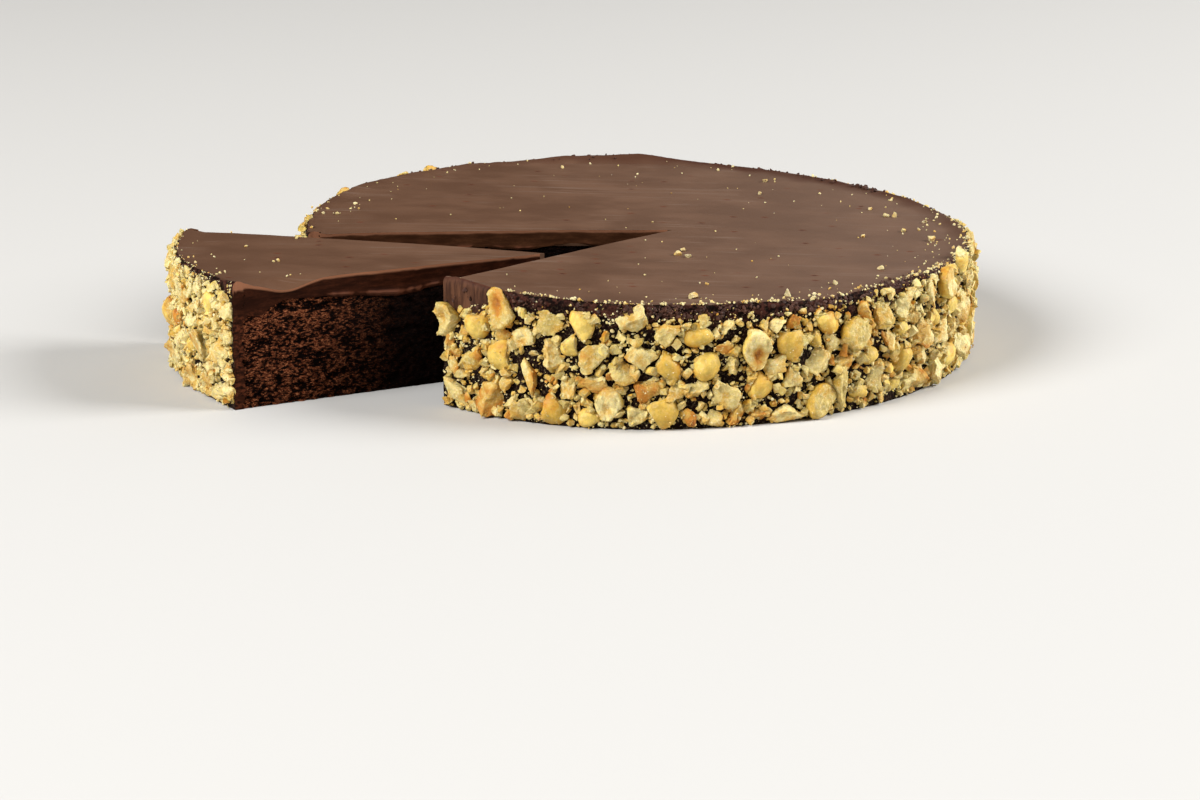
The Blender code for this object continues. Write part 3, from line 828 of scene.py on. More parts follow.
KINDS = {
    "skin": [half_skin_out(f"skin_half_{n}", 100 + n) for n in range(6)],
    "hollow": [half_hollow_out(f"hollow_half_{n}", 200 + n) for n in range(5)],
    "block": [block(f"block_{n}", 300 + n) for n in range(14)],
    "wedge": [wedge(f"wedge_{n}", 400 + n) for n in range(6)],
    "splinter": [splinter(f"splinter_{n}", 500 + n) for n in range(5)],
    "slice": [round_slice(f"round_slice_{n}", 600 + n) for n in range(3)],
}
for kind, shapes in KINDS.items():
    print(kind, "triangles:", [len(shape["faces"]) for shape in shapes])

# %% [markdown]
# ## Where the nuts go
# The larger chips that catch the eye are placed one by one: their angle round the cake, their height and
# size in millimetres, their turn, their kind and how toasted they are. The others are spread by a seeded
# rule, largest first, each in the roomiest of a few random places, so they pack as if pressed on by hand.
# It is the same rule that placed the nuts of the solids, so each chip lies where its solid does.

# %% Say how high the nuts reach and which ones catch the eye
# How far below the top the nuts stop, in millimetres, at angles round the cake
BARE_ANGLES = (186, 230, 236, 246, 262, 300, 315, 345, 390, 450, 540, 546)
BARE_HEIGHTS = (1.5, 2.0, 7.5, 4.5, 3.2, 3.0, 0.5, -0.8, 0.2, 1.2, 1.0, 1.5)
CAKE_NUTS = (
    (248.2, 36.8, 13.5, 8.6, 112, "hollow", 0.75),
    (236.9, 30.4, 10.7, 10.2, 40, "hollow", 0.35),
    (243.0, 29.2, 10.2, 9.0, 75, "skin", 0.75),
    (256.2, 34.2, 9.4, 8.4, 130, "block", 0.15),
    (261.6, 33.4, 11.2, 8.6, 100, "skin", 0.55),
    (263.4, 24.2, 11.4, 8.0, 35, "block", 0.3),
    (253.3, 15.0, 12.6, 4.2, 115, "splinter", 0.55),
    (245.8, 6.2, 12.1, 10.4, 60, "wedge", 0.7),
    (266.1, 8.8, 11.2, 8.8, 95, "hollow", 0.55),
    (238.9, 6.2, 12.0, 7.0, 155, "block", 0.1),
    (275.1, 20.2, 11.6, 7.4, 125, "skin", 0.95),
    (269.3, 35.8, 10.4, 8.4, 20, "wedge", 0.2),
    (279.7, 31.0, 10.2, 8.2, 10, "skin", 0.5),
    (289.3, 26.0, 13.4, 9.4, 105, "hollow", 0.6),
    (295.5, 25.4, 11.6, 9.4, 110, "skin", 0.4),
    (307.7, 25.6, 12.0, 11.4, 0, "slice", 0.1),
    (294.9, 3.2, 13.5, 5.2, 175, "splinter", 0.2),
    (304.7, 9.2, 14.6, 4.8, 92, "splinter", 0.1),
    (300.7, 5.8, 12.0, 10.0, 30, "slice", 0.1),
    (332.2, 34.2, 10.6, 9.6, 90, "slice", 0.2),
    (340.0, 37.8, 9.4, 7.4, 100, "skin", 0.3),
    (357.0, 36.4, 9.0, 7.6, 80, "block", 0.3),
    (88.0, 40.6, 5.4, 4.6, 20, "block", 0.4),
    (131.0, 40.2, 8.8, 6.4, 5, "block", 0.3),
    (138.3, 40.4, 7.0, 6.0, 30, "block", 0.2),
    (157.0, 40.2, 8.0, 6.2, 15, "skin", 0.4),
    (176.5, 36.4, 9.0, 6.4, 75, "block", 0.4),
)
SLICE_NUTS = (
    (228.6, 3.0, 9.4, 4.6, 5, "splinter", 0.3),
    (227.2, 33.0, 7.6, 7.2, 60, "skin", 0.3),
    (212.5, 21.2, 7.6, 6.2, 20, "skin", 0.8),
    (203.0, 35.0, 9.0, 7.4, 70, "block", 0.2),
)
print(len(CAKE_NUTS) + len(SLICE_NUTS), "nuts are placed one by one")

# %% Spread the nuts
NUT_SEED = 41
NUT_LARGEST, NUT_SMALLEST = 11.5 * MM, 5.2 * MM
NUT_SKEW, NUT_SPACING, NUT_TRIES = 1.15, 0.74, 30
NUT_COUNT_CAKE, NUT_COUNT_SLICE = 246, 34
NUT_WIDTH_SHARE = (0.66, 0.98)
NUT_BED = 1.6 * MM
NUT_RISE_LEAST, NUT_RISE_MOST, NUT_RISE_SHARE = 2.4 * MM, 4.9 * MM, (0.72, 1.05)
NUT_TILT = 0.16
NUT_CLEAR_OF_CUT, NUT_CLEAR_OF_FOOT, NUT_CLEAR_OF_LINE = 0.36, 0.4, 0.42


def nut_line(angle):
    """How high on the side the nuts reach at this angle."""
    turn = (math.degrees(angle) - BARE_ANGLES[0]) % 360 + BARE_ANGLES[0]
    bare = float(np.interp(turn, BARE_ANGLES, BARE_HEIGHTS)) * MM
    return CAKE_HEIGHT + TOP_SLOPE * CAKE_RADIUS * math.cos(angle) - bare


def make_nut(draw, angle, height, length, width, turn, kind=None, toast=None):
    span = 0.5 * (length + width) / NUT_LARGEST
    rise = NUT_RISE_MOST * span * draw.uniform(*NUT_RISE_SHARE)
    return {
        "angle": angle,
        "height": height,
        "length": length,
        "width": width,
        "turn": turn,
        "rise": min(NUT_RISE_MOST, max(NUT_RISE_LEAST, rise)),
        "tilt": (draw.uniform(-NUT_TILT, NUT_TILT), draw.uniform(-NUT_TILT, NUT_TILT)),
        "seed": draw.randrange(10**6),
        "kind": kind,
        "toast": toast,
    }


def room_between(angle, height, size, other):
    """The distance from a placed nut, as a share of the distance at which the two just touch."""
    turn = (angle - other["angle"] + math.pi) % math.tau - math.pi
    apart = math.hypot(turn * CAKE_RADIUS, height - other["height"])
    return apart / (0.5 * size + 0.25 * (other["length"] + other["width"]))


def spread_nuts(draw, named, start, end, count):
    placed = []
    for degrees, height, length, width, turn, kind, toast in named:
        sizes = (height * MM, length * MM, width * MM)
        placed.append(make_nut(draw, math.radians(degrees), *sizes, math.radians(turn), kind, toast))
    spread = NUT_LARGEST - NUT_SMALLEST
    lengths = sorted((NUT_SMALLEST + spread * draw.random() ** NUT_SKEW for _ in range(count)), reverse=True)
    for length in lengths:
        width = length * draw.uniform(*NUT_WIDTH_SHARE)
        margin = NUT_CLEAR_OF_CUT * length / CAKE_RADIUS
        best, best_room = None, NUT_SPACING
        for _ in range(NUT_TRIES):
            angle = draw.uniform(start + margin, end - margin)
            highest = nut_line(angle) - NUT_CLEAR_OF_LINE * length
            height = draw.uniform(NUT_CLEAR_OF_FOOT * width, highest)
            room = min(room_between(angle, height, 0.5 * (length + width), other) for other in placed)
            if room > best_room:
                best, best_room = (angle, height), room
        if best:
            placed.append(make_nut(draw, *best, length, width, draw.uniform(0, math.pi)))
    return placed


def rim_angle(cut_angle):
    """The angle about the cake's own centre at which a cut reaches the wall."""
    length = float(wall_distance(np.array([cut_angle]))[0])
    end = NOTCH_TIP.xy + Vector(directions(cut_angle)) * length
    return math.atan2(end.y, end.x) % math.tau


draw = random.Random(NUT_SEED)
cake_arc = (rim_angle(NOTCH_TO), rim_angle(NOTCH_FROM) + math.tau)
slice_arc = (rim_angle(SLICE_FROM), rim_angle(SLICE_TO))
cake_nuts = spread_nuts(draw, CAKE_NUTS, *cake_arc, NUT_COUNT_CAKE)
slice_nuts = spread_nuts(draw, SLICE_NUTS, *slice_arc, NUT_COUNT_SLICE)
print(len(cake_nuts), "nuts on the cake and", len(slice_nuts), "on the slice")

# %% [markdown]
# ## Filling a piece with copies
# Every copy of a chip is stretched to its own length, width and depth, turned, and set into the wall.
# Copying by hand would take hundreds of steps, so the points of all copies are worked out at once and
# joined as one mesh for each kind. Each point also keeps three values that the material reads: how pale
# its chip is, how toasted, and how much is skin.

# %% Join many placed copies
FLOOR_CLEAR = 0.15 * MM
ALONG_THE_WALL = 0.02
UPWARDS = Vector((0, 0, 1))


def wall_place(angle, height, out=0.0):
    """The matrix from a chip's own axes (X along the wall, Y up, Z out) to the cake's."""
    ends = [wall_radius(a) * directions(a) for a in (angle - ALONG_THE_WALL, angle + ALONG_THE_WALL)]
    along = Vector((*(ends[1] - ends[0]), 0)).normalized()
    outward = along.cross(UPWARDS)
    spot = Vector((*(wall_radius(angle) * directions(angle)), height)) + float(out) * outward
    return Matrix.Translation(spot) @ Matrix((along, UPWARDS, outward)).transposed().to_4x4()


def join_copies(name, copies, sharp_from):
    """One mesh of many copies, each a shape, a matrix, how pale it is and how toasted."""
    points, faces, values = [], [], []
    offset = 0
    for shape, matrix, tone, toast in copies:
        spin = np.array(matrix.to_3x3())
        placed = shape["points"] @ spin.T + np.array(matrix.translation)
        placed[:, 2] += max(0.0, FLOOR_CLEAR - placed[:, 2].min())
        turned_over = np.linalg.det(spin) < 0
        points.append(placed)
        faces.append((shape["faces"][:, ::-1] if turned_over else shape["faces"]) + offset)
        toasted = ramp(toast * (0.25 + 1.3 * shape["toast"]))
        values.append(np.column_stack([np.full(len(placed), tone), toasted, shape["skin"]]))
        offset += len(placed)
    mesh = bpy.data.meshes.new(name)
    mesh.from_pydata(np.concatenate(points).tolist(), [], np.concatenate(faces).tolist())
    piece = bpy.data.objects.new(name, mesh)
    bpy.context.scene.collection.objects.link(piece)
    paint_points(piece, "chip", *np.concatenate(values).T)
    shade_smooth(piece, sharp_from)
    print(name, len(copies), "copies,", len(mesh.polygons), "triangles")
    return piece


# %% Set the nuts into the side
NUT_SHARP_FROM, NUT_GROWN, NUT_LEAN = 50, 1.04, 1.2
# The nuts are painted paler, less toasted and more powdery on the slice, and round this angle at the cake's
# right, as painted light where the light falls brightest
SLICE_PAINTED_LIGHT, RIGHT_PAINTED_LIGHT, PAINTED_LIGHT_AT, PAINTED_LIGHT_HALF = 0.32, 0.34, 342, 26
STILL = Matrix.Identity(4)


def hump(degrees, centre, half):
    """A smooth bump round the cake: 1 at its centre, all in degrees."""
    return math.exp(-((((degrees - centre + 180) % 360 - 180) / half) ** 2))


# Painted light: how much paler the nuts are on the slice and at the cake's right
def painted_light_paleness(angle, pull):
    return SLICE_PAINTED_LIGHT if pull == SLICE_PULL else RIGHT_PAINTED_LIGHT * hump(math.degrees(angle), PAINTED_LIGHT_AT, PAINTED_LIGHT_HALF)


def nut_copy(nut, pull):
    """Chooses a shape for this nut and sets it in its place."""
    choose = random.Random(nut["seed"] + 7)
    size = nut["length"] / NUT_LARGEST
    chances = {
        "block": 6,
        "skin": 1 + 2 * size,
        "hollow": 2 * size,
        "wedge": 2.4,
        "splinter": 1.4,
        "slice": 0.3,
    }
    kind = nut["kind"] or choose.choices(list(chances), list(chances.values()))[0]
    shape = choose.choice(KINDS[kind])
    # Paler and less toasted here is painted light
    pale = painted_light_paleness(nut["angle"], pull)
    tone = min(1.0, choose.betavariate(1.5, 1.7) + pale)
    toast = nut["toast"] if nut["toast"] is not None else choose.betavariate(1.1, 2.1) * (1 - 1.2 * pale)
    depth = nut["rise"] + NUT_BED * choose.uniform(0.5, 1.0)
    flip = choose.choice((-1, 1))
    stretch = Matrix.Diagonal((nut["length"] * NUT_GROWN, flip * nut["width"] * NUT_GROWN, depth, 1))
    turn = Matrix.Rotation(nut["turn"], 4, "Z")
    sideways, upwards = nut["tilt"]
    lean = Matrix.Rotation(upwards * NUT_LEAN, 4, "X") @ Matrix.Rotation(-sideways * NUT_LEAN, 4, "Y")
    place = wall_place(nut["angle"], nut["height"], nut["rise"] - depth) @ turn @ lean @ stretch
    return kind, (shape, pull @ place, tone, toast)


on_cake = [nut_copy(nut, STILL) for nut in cake_nuts]
on_slice = [nut_copy(nut, SLICE_PULL) for nut in slice_nuts]
nut_names = {
    "skin": "nut_halves_skin_out",
    "hollow": "nut_halves_hollow_out",
    "block": "nut_blocks",
    "wedge": "nut_wedges",
    "splinter": "nut_splinters",
    "slice": "nut_round_slices",
}
nut_pieces = []
for kind, name in nut_names.items():
    copies = [copy for own_kind, copy in on_cake + on_slice if own_kind == kind]
    nut_pieces.append(join_copies(name, copies, NUT_SHARP_FROM))

# %% [markdown]
# ## Small bits and dust
# Chopping nuts leaves bits of one to five millimetres and a fine meal. The larger bits fill the spaces
# between the chips, the smaller ones the spaces that are still left, and the meal clings in clumps to
# the sticky ganache and to the chips themselves. There are thousands, so a bit is a simple chip of a few
# dozen faces, and a grain has twenty: it is pressed flat on one side, because a cut would add faces.

# %% Fill the gaps with bits
BIT_SEED, BIT_SHARP_FROM = 52, 24
BIT_SIZES, SMALL_BIT_SIZES = (2.5 * MM, 4.8 * MM), (1.0 * MM, 2.6 * MM)
BIT_SHAPES = [block(f"bit_{n}", 700 + n, detail=2, voxel=None) for n in range(12)]
SMALL_BIT_SHAPES = [block(f"small_bit_{n}", 750 + n, detail=1, voxel=None) for n in range(12)]


def mostly_small(draw, least, most, power):
    """A random number between two, nearer the smaller one the higher the power."""
    return least + (most - least) * draw.random() ** power


def tumbled(draw, place, size, widths, depths):
    """The matrix that gives a unit shape its size, sides of random shares, a random turn and its place."""
    sides = [size, size * draw.uniform(*widths), size * draw.uniform(*depths), 1]
    turn = draw.uniform(0, math.tau)
    axis = Vector([draw.gauss(0, 1) for _ in range(3)]).normalized()
    turned = place @ Matrix.Rotation(turn, 4, axis)
    return turned @ Matrix.Diagonal(sides) @ Matrix.Translation((0, 0, -0.5))


def spread_bits(draw, arc, nuts, count, pull, shapes, sizes, closest):
    """Tries this many places between the nuts, and fills those that have room."""
    copies = []
    for _ in range(count):
        size = mostly_small(draw, *sizes, 1.4)
        angle = draw.uniform(arc[0] + 0.3 * size / CAKE_RADIUS, arc[1] - 0.3 * size / CAKE_RADIUS)
        top = nut_line(angle) - 0.2 * MM
        height = 0.5 * size + (top - 0.5 * size) * draw.random() ** 1.15
        room = min(room_between(angle, height, size, nut) for nut in nuts)
        if room < closest:
            continue
        out = draw.uniform(-0.1, 0.35) * size + (0.9 * MM if room < 0.8 else 0.0) * draw.random()
        place = tumbled(draw, pull @ wall_place(angle, height, out), size, (0.6, 0.95), (0.5, 0.85))
        # Paler and less toasted here is painted light
        pale = painted_light_paleness(angle, pull)
        tone = min(1.0, draw.betavariate(1.4, 1.6) + pale)
        toast = draw.betavariate(0.9, 2.6) * (1 - 1.2 * pale)
        copies.append((draw.choice(shapes), place, tone, toast))
    return copies


draw = random.Random(BIT_SEED)
bits = spread_bits(draw, cake_arc, cake_nuts, 2300, STILL, BIT_SHAPES, BIT_SIZES, 0.55)
bits += spread_bits(draw, slice_arc, slice_nuts, 420, SLICE_PULL, BIT_SHAPES, BIT_SIZES, 0.5)
nut_pieces.append(join_copies("nut_bits", bits, BIT_SHARP_FROM))
small_kind = (SMALL_BIT_SHAPES, SMALL_BIT_SIZES)
small_bits = spread_bits(draw, cake_arc, cake_nuts, 3500, STILL, *small_kind, 0.5)
small_bits += spread_bits(draw, slice_arc, slice_nuts, 900, SLICE_PULL, *small_kind, 0.4)
nut_pieces.append(join_copies("nut_small_bits", small_bits, BIT_SHARP_FROM))

# %% Cling the meal to the ganache
MEAL_SEED, MEAL_SHARP_FROM = 63, 20
MEAL_SIZES, STUCK_SIZES = (0.35 * MM, 1.5 * MM), (0.28 * MM, 0.88 * MM)


def grain_shape(name, seed):
    """A tiny uneven grain of twenty faces, pressed flat on one side."""
    kernel = rounded_kernel(name, seed, detail=1)
    place, away = side_cuts(random.Random(seed), 1, 0.12, 0.3)[0]
    points = points_of(kernel)
    past = np.maximum((points - np.array(place)) @ np.array(away), 0)
    move_points(kernel, points - past[:, None] * np.array(away))
    for polygon in kernel.data.polygons:
        polygon.material_index = int(all(past[vertex] > 0 for vertex in polygon.vertices))
    return taken_shape(kernel, 0.1, seed)


MEAL_SHAPES = [grain_shape(f"meal_{n}", 800 + n) for n in range(8)]


def meal_grain(draw, place, size, pull):
    matrix = tumbled(draw, pull @ place, size, (0.55, 0.95), (0.45, 0.8))
    return draw.choice(MEAL_SHAPES), matrix, draw.betavariate(1.6, 1.3), draw.betavariate(0.8, 3.2)


def spread_meal(draw, arc, count, pull):
    """Grains over the nutted side, clumped by a soft noise."""
    copies = []
    while len(copies) < count:
        angle = draw.uniform(*arc)
        height = draw.uniform(0.3 * MM, nut_line(angle) + 0.5 * MM)
        spot = Vector((angle * CAKE_RADIUS, height, 0)) / (7 * MM)
        if noise.noise(spot) + 0.45 * noise.noise(spot * 3) < draw.uniform(-0.5, 0.35):
            continue
        size = mostly_small(draw, *MEAL_SIZES, 2.2)
        out = (draw.uniform(0, 0.4) + 1.4 * draw.random() ** 3) * MM
        copies.append(meal_grain(draw, wall_place(angle, height, out), size, pull))
    return copies


def stuck_grains(draw, chips, most):
    """Grains stuck to the outer face of each chip, more on some than on others."""
    copies = []
    for _, (shape, matrix, _, _) in chips:
        outer = shape["points"][shape["points"][:, 2] > 0.45]
        for _ in range(round(most * (0.2 + 0.8 * draw.random() ** 1.6))):
            spot = matrix @ Vector(outer[draw.randrange(len(outer))])
            size = mostly_small(draw, *STUCK_SIZES, 2)
            copies.append(meal_grain(draw, Matrix.Translation(spot), size, STILL))
    return copies


draw = random.Random(MEAL_SEED)
meal = spread_meal(draw, cake_arc, 5900, STILL) + spread_meal(draw, slice_arc, 1500, SLICE_PULL)
stuck = stuck_grains(draw, on_cake, 26) + stuck_grains(draw, on_slice, 60)
print(len(meal), "grains on the side and", len(stuck), "on the chips")

# %% [markdown]
# ## Crumbs on the rim and on the top
# Along the front the bare edge of the ganache is dusted with meal, and a few larger crumbs have fallen on
# the top: three together near the middle of the front, and more towards the right, where the nuts reach
# the rim. Each one lies on the ganache, so its height is worked out from the same lean, dips and lumps
# as the coat's own surface.

# %% Lay a crumb on the top
# Each row is the place and the size, in millimetres, of a crumb that catches the eye
TOP_CRUMBS = (
    (14.3, -45.0, 2.6),
    (16.6, -38.5, 2.2),
    (18.0, -47.5, 2.3),
    (50, 80, 2.4),
    (47, 57, 1.6),
    (91, 24, 2.3),
    (94, 24, 2.6),
    (86, 35, 1.7),
    (80, -10, 1.9),
    (95, 0, 2.1),
    (103.5, -13.5, 3.3),
    (104, 16, 2.2),
    (82, -58, 2.4),
    (65, -81, 2.6),
    (23, -86, 1.4),
    (49, -98, 3.2),
    (18, -104, 3.0),
)
CUT_MARGIN, CRUMB_SITS = 0.02, 0.22


def top_height(x, y):
    """The top of the settled ganache, where a crumb rests."""
    place = np.array([[x, y, 0.0]])
    around = math.atan2(y, x)
    reach = math.hypot(x, y)
    lean = TOP_SLOPE * x + float(total(TOP_DIPS, around)) * (reach / CAKE_RADIUS) ** 2
    lean += WANDER * float(wander(place, WANDER_SIZE, WANDER_SEED)[0])
    near_rim = min(1.0, max(0.0, 1 - (wall_radius(around) - reach) / LIP_WIDTH))
    return CAKE_HEIGHT + lean + float(total(RIM_LUMPS, around)) * near_rim + LIP_HEIGHT * near_rim


def outside_the_cut(x, y):
    turn = math.atan2(y - NOTCH_TIP.y, x - NOTCH_TIP.x) % math.tau
    return not NOTCH_FROM - CUT_MARGIN < turn < NOTCH_TO + CUT_MARGIN


def lay_crumb(draw, x, y, size, pull, shapes):
    place = Matrix.Translation((x, y, top_height(x, y) + CRUMB_SITS * size))
    matrix = tumbled(draw, pull @ place, size, (0.7, 0.95), (0.6, 0.85))
    return draw.choice(shapes), matrix, draw.uniform(0.3, 0.9), draw.uniform(0.0, 0.25)


print("the top stands", round(top_height(0.0, 0.0) / MM, 1), "mm high in its middle")


# %% Drop crumbs on the top
CRUMB_SEED, SPECK_COUNT, SLICE_SPECK_COUNT = 74, 90, 26
# Each row is an angle and a half width in degrees, and a number of small crumbs that fell near the rim
CRUMB_FALLS = ((340, 24, 70), (285, 40, 44), (10, 22, 50), (60, 40, 14), (128, 26, 18), (170, 12, 22))

draw = random.Random(CRUMB_SEED)
crumbs = [lay_crumb(draw, x * MM, y * MM, size * MM, STILL, BIT_SHAPES) for x, y, size in TOP_CRUMBS]
for centre, half, count in CRUMB_FALLS:
    for _ in range(count):
        angle = math.radians(centre + half * draw.gauss(0, 0.55))
        x, y = (wall_radius(angle) - mostly_small(draw, 1.2 * MM, 17.2 * MM, 2.4)) * directions(angle)
        if outside_the_cut(x, y):
            size = mostly_small(draw, 0.4 * MM, 1.6 * MM, 2.6)
            crumbs.append(lay_crumb(draw, x, y, size, STILL, MEAL_SHAPES))
for _ in range(SPECK_COUNT):
    turn, reach = draw.uniform(0, math.tau), wall_radius(0.0) * math.sqrt(draw.random()) * 0.92
    x, y = reach * directions(turn)
    if outside_the_cut(x, y):
        size = mostly_small(draw, 0.3 * MM, 0.9 * MM, 2)
        crumbs.append(lay_crumb(draw, x, y, size, STILL, MEAL_SHAPES))
for _ in range(SLICE_SPECK_COUNT):
    turn = draw.uniform(*slice_arc)
    x, y = (wall_radius(turn) - mostly_small(draw, 1.5 * MM, 41.5 * MM, 1.9)) * directions(turn)
    if not outside_the_cut(x, y):
        size = mostly_small(draw, 0.4 * MM, 1.5 * MM, 2)
        crumbs.append(lay_crumb(draw, x, y, size, SLICE_PULL, MEAL_SHAPES))
print(len(crumbs), "crumbs on the top")

# %% Dust the rim
RIM_SEED = 85
EDGE_FROM, EDGE_TO, EDGE_SIZES = 248, 356, (0.3 * MM, 1.4 * MM)


def rim_grains(draw, arc, count, density, pull, reach_down, largest):
    """Grains along the edge, from its rounded top down to a little below the top of the nuts."""
    copies = []
    while len(copies) < count:
        angle = draw.uniform(*arc)
        if draw.random() > density(math.degrees(angle) % 360):
            continue
        rim_top = top_height(*((wall_radius(angle) - RIM_ROUNDING) * directions(angle)))
        down = draw.random() ** 1.2 * (rim_top - nut_line(angle) + reach_down)
        spot = Vector((angle * CAKE_RADIUS, down, reach_down)) / (5 * MM)
        if noise.noise(spot) + 0.4 * noise.noise(spot * 2.7) < draw.uniform(-0.35, 0.3):
            continue
        inward = max(0.0, RIM_ROUNDING - down) * 0.8
        place = wall_place(angle, rim_top - down, 0.1 * MM - inward)
        size = mostly_small(draw, MEAL_SIZES[0], largest, 2)
        copies.append(meal_grain(draw, place, size, pull))
    return copies


def meal_density(degrees):
    piled = 0.1 + 0.5 * hump(degrees, 268, 22) + 0.8 * hump(degrees, 352, 22)
    return piled * (1 - 0.95 * hump(degrees, 235, 11))


def ganache_density(degrees):
    return 0.04 + 0.7 * hump(degrees, 272, 24) + hump(degrees, 314, 28) + 0.2 * hump(degrees, 92, 60)


def even_density(degrees):
    return 1.0


def edge_specks(draw, count):
    """Pale specks in loose clumps right on the edge of the top, along the front and the right."""
    copies = []
    while len(copies) < count:
        angle = math.radians(draw.uniform(EDGE_FROM, EDGE_TO))
        if noise.noise(Vector((angle * CAKE_RADIUS, 0, 0)) / (3 * MM)) < draw.uniform(-0.2, 0.5):
            continue
        x, y = (wall_radius(angle) - mostly_small(draw, 0.1 * MM, 3.7 * MM, 1.7)) * directions(angle)
        size = mostly_small(draw, *EDGE_SIZES, 2.6)
        copies.append(lay_crumb(draw, x, y, size, STILL, MEAL_SHAPES))
    return copies


draw = random.Random(RIM_SEED)
rim_meal = rim_grains(draw, cake_arc, 640, meal_density, STILL, 3 * MM, 1.0 * MM) + edge_specks(draw, 460)
rim_meal += rim_grains(draw, slice_arc, 420, even_density, SLICE_PULL, 3 * MM, 1.2 * MM)
grains = {"nut_meal": meal, "stuck_meal": stuck, "rim_meal": rim_meal, "fallen_crumbs": crumbs}
for name, copies in grains.items():
    nut_pieces.append(join_copies(name, copies, MEAL_SHARP_FROM))

# %% [markdown]
# ## Ganache crumbs under the rim
# Where the nuts stop short of the rim, the knife has torn the setting ganache into small dark crumbs.
# They lie thickest along the front and the right, and in a few low heaps on the rim of the top.

# %% Heap the ganache crumbs
DARK_SEED = 96
# Each row is an angle, a half width in degrees and a number of crumbs heaped on the rim
DARK_HEAPS = ((39, 3, 22), (54, 6, 8), (96, 9, 10), (193, 4, 10), (320, 8, 16))

draw = random.Random(DARK_SEED)
dark_crumbs = rim_grains(draw, cake_arc, 2300, ganache_density, STILL, 1.2 * MM, 2.0 * MM)
dark_crumbs += rim_grains(draw, slice_arc, 160, even_density, SLICE_PULL, 1.5 * MM, 1.4 * MM)
for centre, half, count in DARK_HEAPS:
    for _ in range(count):
        angle = math.radians(centre + half * draw.gauss(0, 0.6))
        x, y = (wall_radius(angle) - mostly_small(draw, 0.8 * MM, 4.8 * MM, 1.5)) * directions(angle)
        if outside_the_cut(x, y):
            size = mostly_small(draw, 0.6 * MM, 2.2 * MM, 2)
            dark_crumbs.append(lay_crumb(draw, x, y, size, STILL, MEAL_SHAPES))
ganache_crumbs = join_copies("ganache_crumbs", dark_crumbs, MEAL_SHARP_FROM)

# %% [markdown]
# ## Finishes: a shared grain
# Ganache, crumb and nut all need soft mottling and fine relief, only at different sizes. One node group
# gives both: a slow patchy value for colour and roughness, and a fine height for bump. It is built once
# and placed in each material with its own sizes.

# %% Build the shared grain group
PATCH_DETAIL, PATCH_ROUGHNESS = 4, 0.6
GRAIN_DETAIL, GRAIN_ROUGHNESS = 5, 0.65


def new_socket(group, name, kind, in_or_out, default=None):
    socket = group.interface.new_socket(name=name, in_out=in_or_out, socket_type=kind)
    if default is not None:
        socket.default_value = default


def add_node(tree, kind, **settings):
    node = tree.nodes.new(kind)
    for name, value in settings.items():
        setattr(node, name, value)
    return node


def link(tree, source, target):
    tree.links.new(source, target)


def add_noise(tree, place, detail, roughness):
    noise_node = add_node(tree, "ShaderNodeTexNoise")
    noise_node.inputs["Detail"].default_value = detail
    noise_node.inputs["Roughness"].default_value = roughness
    link(tree, place, noise_node.inputs["Vector"])
    return noise_node


def make_grain_group():
    group = bpy.data.node_groups.new("food grain", "ShaderNodeTree")
    new_socket(group, "Vector", "NodeSocketVector", "INPUT")
    new_socket(group, "Patch Scale", "NodeSocketFloat", "INPUT", 40.0)
    new_socket(group, "Grain Scale", "NodeSocketFloat", "INPUT", 900.0)
    new_socket(group, "Patches", "NodeSocketFloat", "OUTPUT")
    new_socket(group, "Height", "NodeSocketFloat", "OUTPUT")
    start = add_node(group, "NodeGroupInput")
    end = add_node(group, "NodeGroupOutput")
    patches = add_noise(group, start.outputs["Vector"], PATCH_DETAIL, PATCH_ROUGHNESS)
    grain = add_noise(group, start.outputs["Vector"], GRAIN_DETAIL, GRAIN_ROUGHNESS)
    link(group, start.outputs["Patch Scale"], patches.inputs["Scale"])
    link(group, start.outputs["Grain Scale"], grain.inputs["Scale"])
    link(group, patches.outputs["Fac"], end.inputs["Patches"])
    link(group, grain.outputs["Fac"], end.inputs["Height"])
    return group


GRAIN = make_grain_group()
print("grain group sockets:", [item.name for item in GRAIN.interface.items_tree])

# %% Small helpers for the finishes
def start_material(name, gloss):
    """A material, its nodes, its shader and its Object coordinates; gloss is 0.5 for a plain oily surface."""
    material = bpy.data.materials.new(name)
    material.use_nodes = True
    tree = material.node_tree
    shader = tree.nodes["Principled BSDF"]
    shader.inputs["Specular IOR Level"].default_value = gloss
    place = add_node(tree, "ShaderNodeTexCoord")
    return material, tree, shader, place.outputs["Object"]


def add_grain(tree, place, patch_scale, grain_scale):
    grain = add_node(tree, "ShaderNodeGroup", node_tree=GRAIN)
    link(tree, place, grain.inputs["Vector"])
    grain.inputs["Patch Scale"].default_value = patch_scale
    grain.inputs["Grain Scale"].default_value = grain_scale
    return grain


def set_or_link(tree, socket, value):
    """Links a socket, or sets a plain colour or number on the node's own socket."""
    if isinstance(value, bpy.types.NodeSocket):
        link(tree, value, socket)
    elif isinstance(value, tuple):
        socket.default_value = (*value, 1)
    else:
        socket.default_value = value


def blend_colours(tree, amount, first, second):
    """Mixes two colours, each a plain (r, g, b) or a socket."""
    mix = add_node(tree, "ShaderNodeMix", data_type="RGBA")
    for socket, value in ((mix.inputs[0], amount), (mix.inputs[6], first), (mix.inputs[7], second)):
        set_or_link(tree, socket, value)
    return mix.outputs[2]


def layered(tree, colour, layers):
    """Lays colours over one another, each by its own amount."""
    for amount, shade in layers:
        colour = blend_colours(tree, amount, colour, shade)
    return colour


def ranged(tree, value, low, high, new_low=0.0, new_high=1.0):
    """Maps a value from one range to another, smoothly and clamped."""
    node = add_node(tree, "ShaderNodeMapRange", interpolation_type="SMOOTHSTEP")
    link(tree, value, node.inputs["Value"])
    for name, number in (("From Min", low), ("From Max", high), ("To Min", new_low), ("To Max", new_high)):
        node.inputs[name].default_value = number
    return node.outputs["Result"]


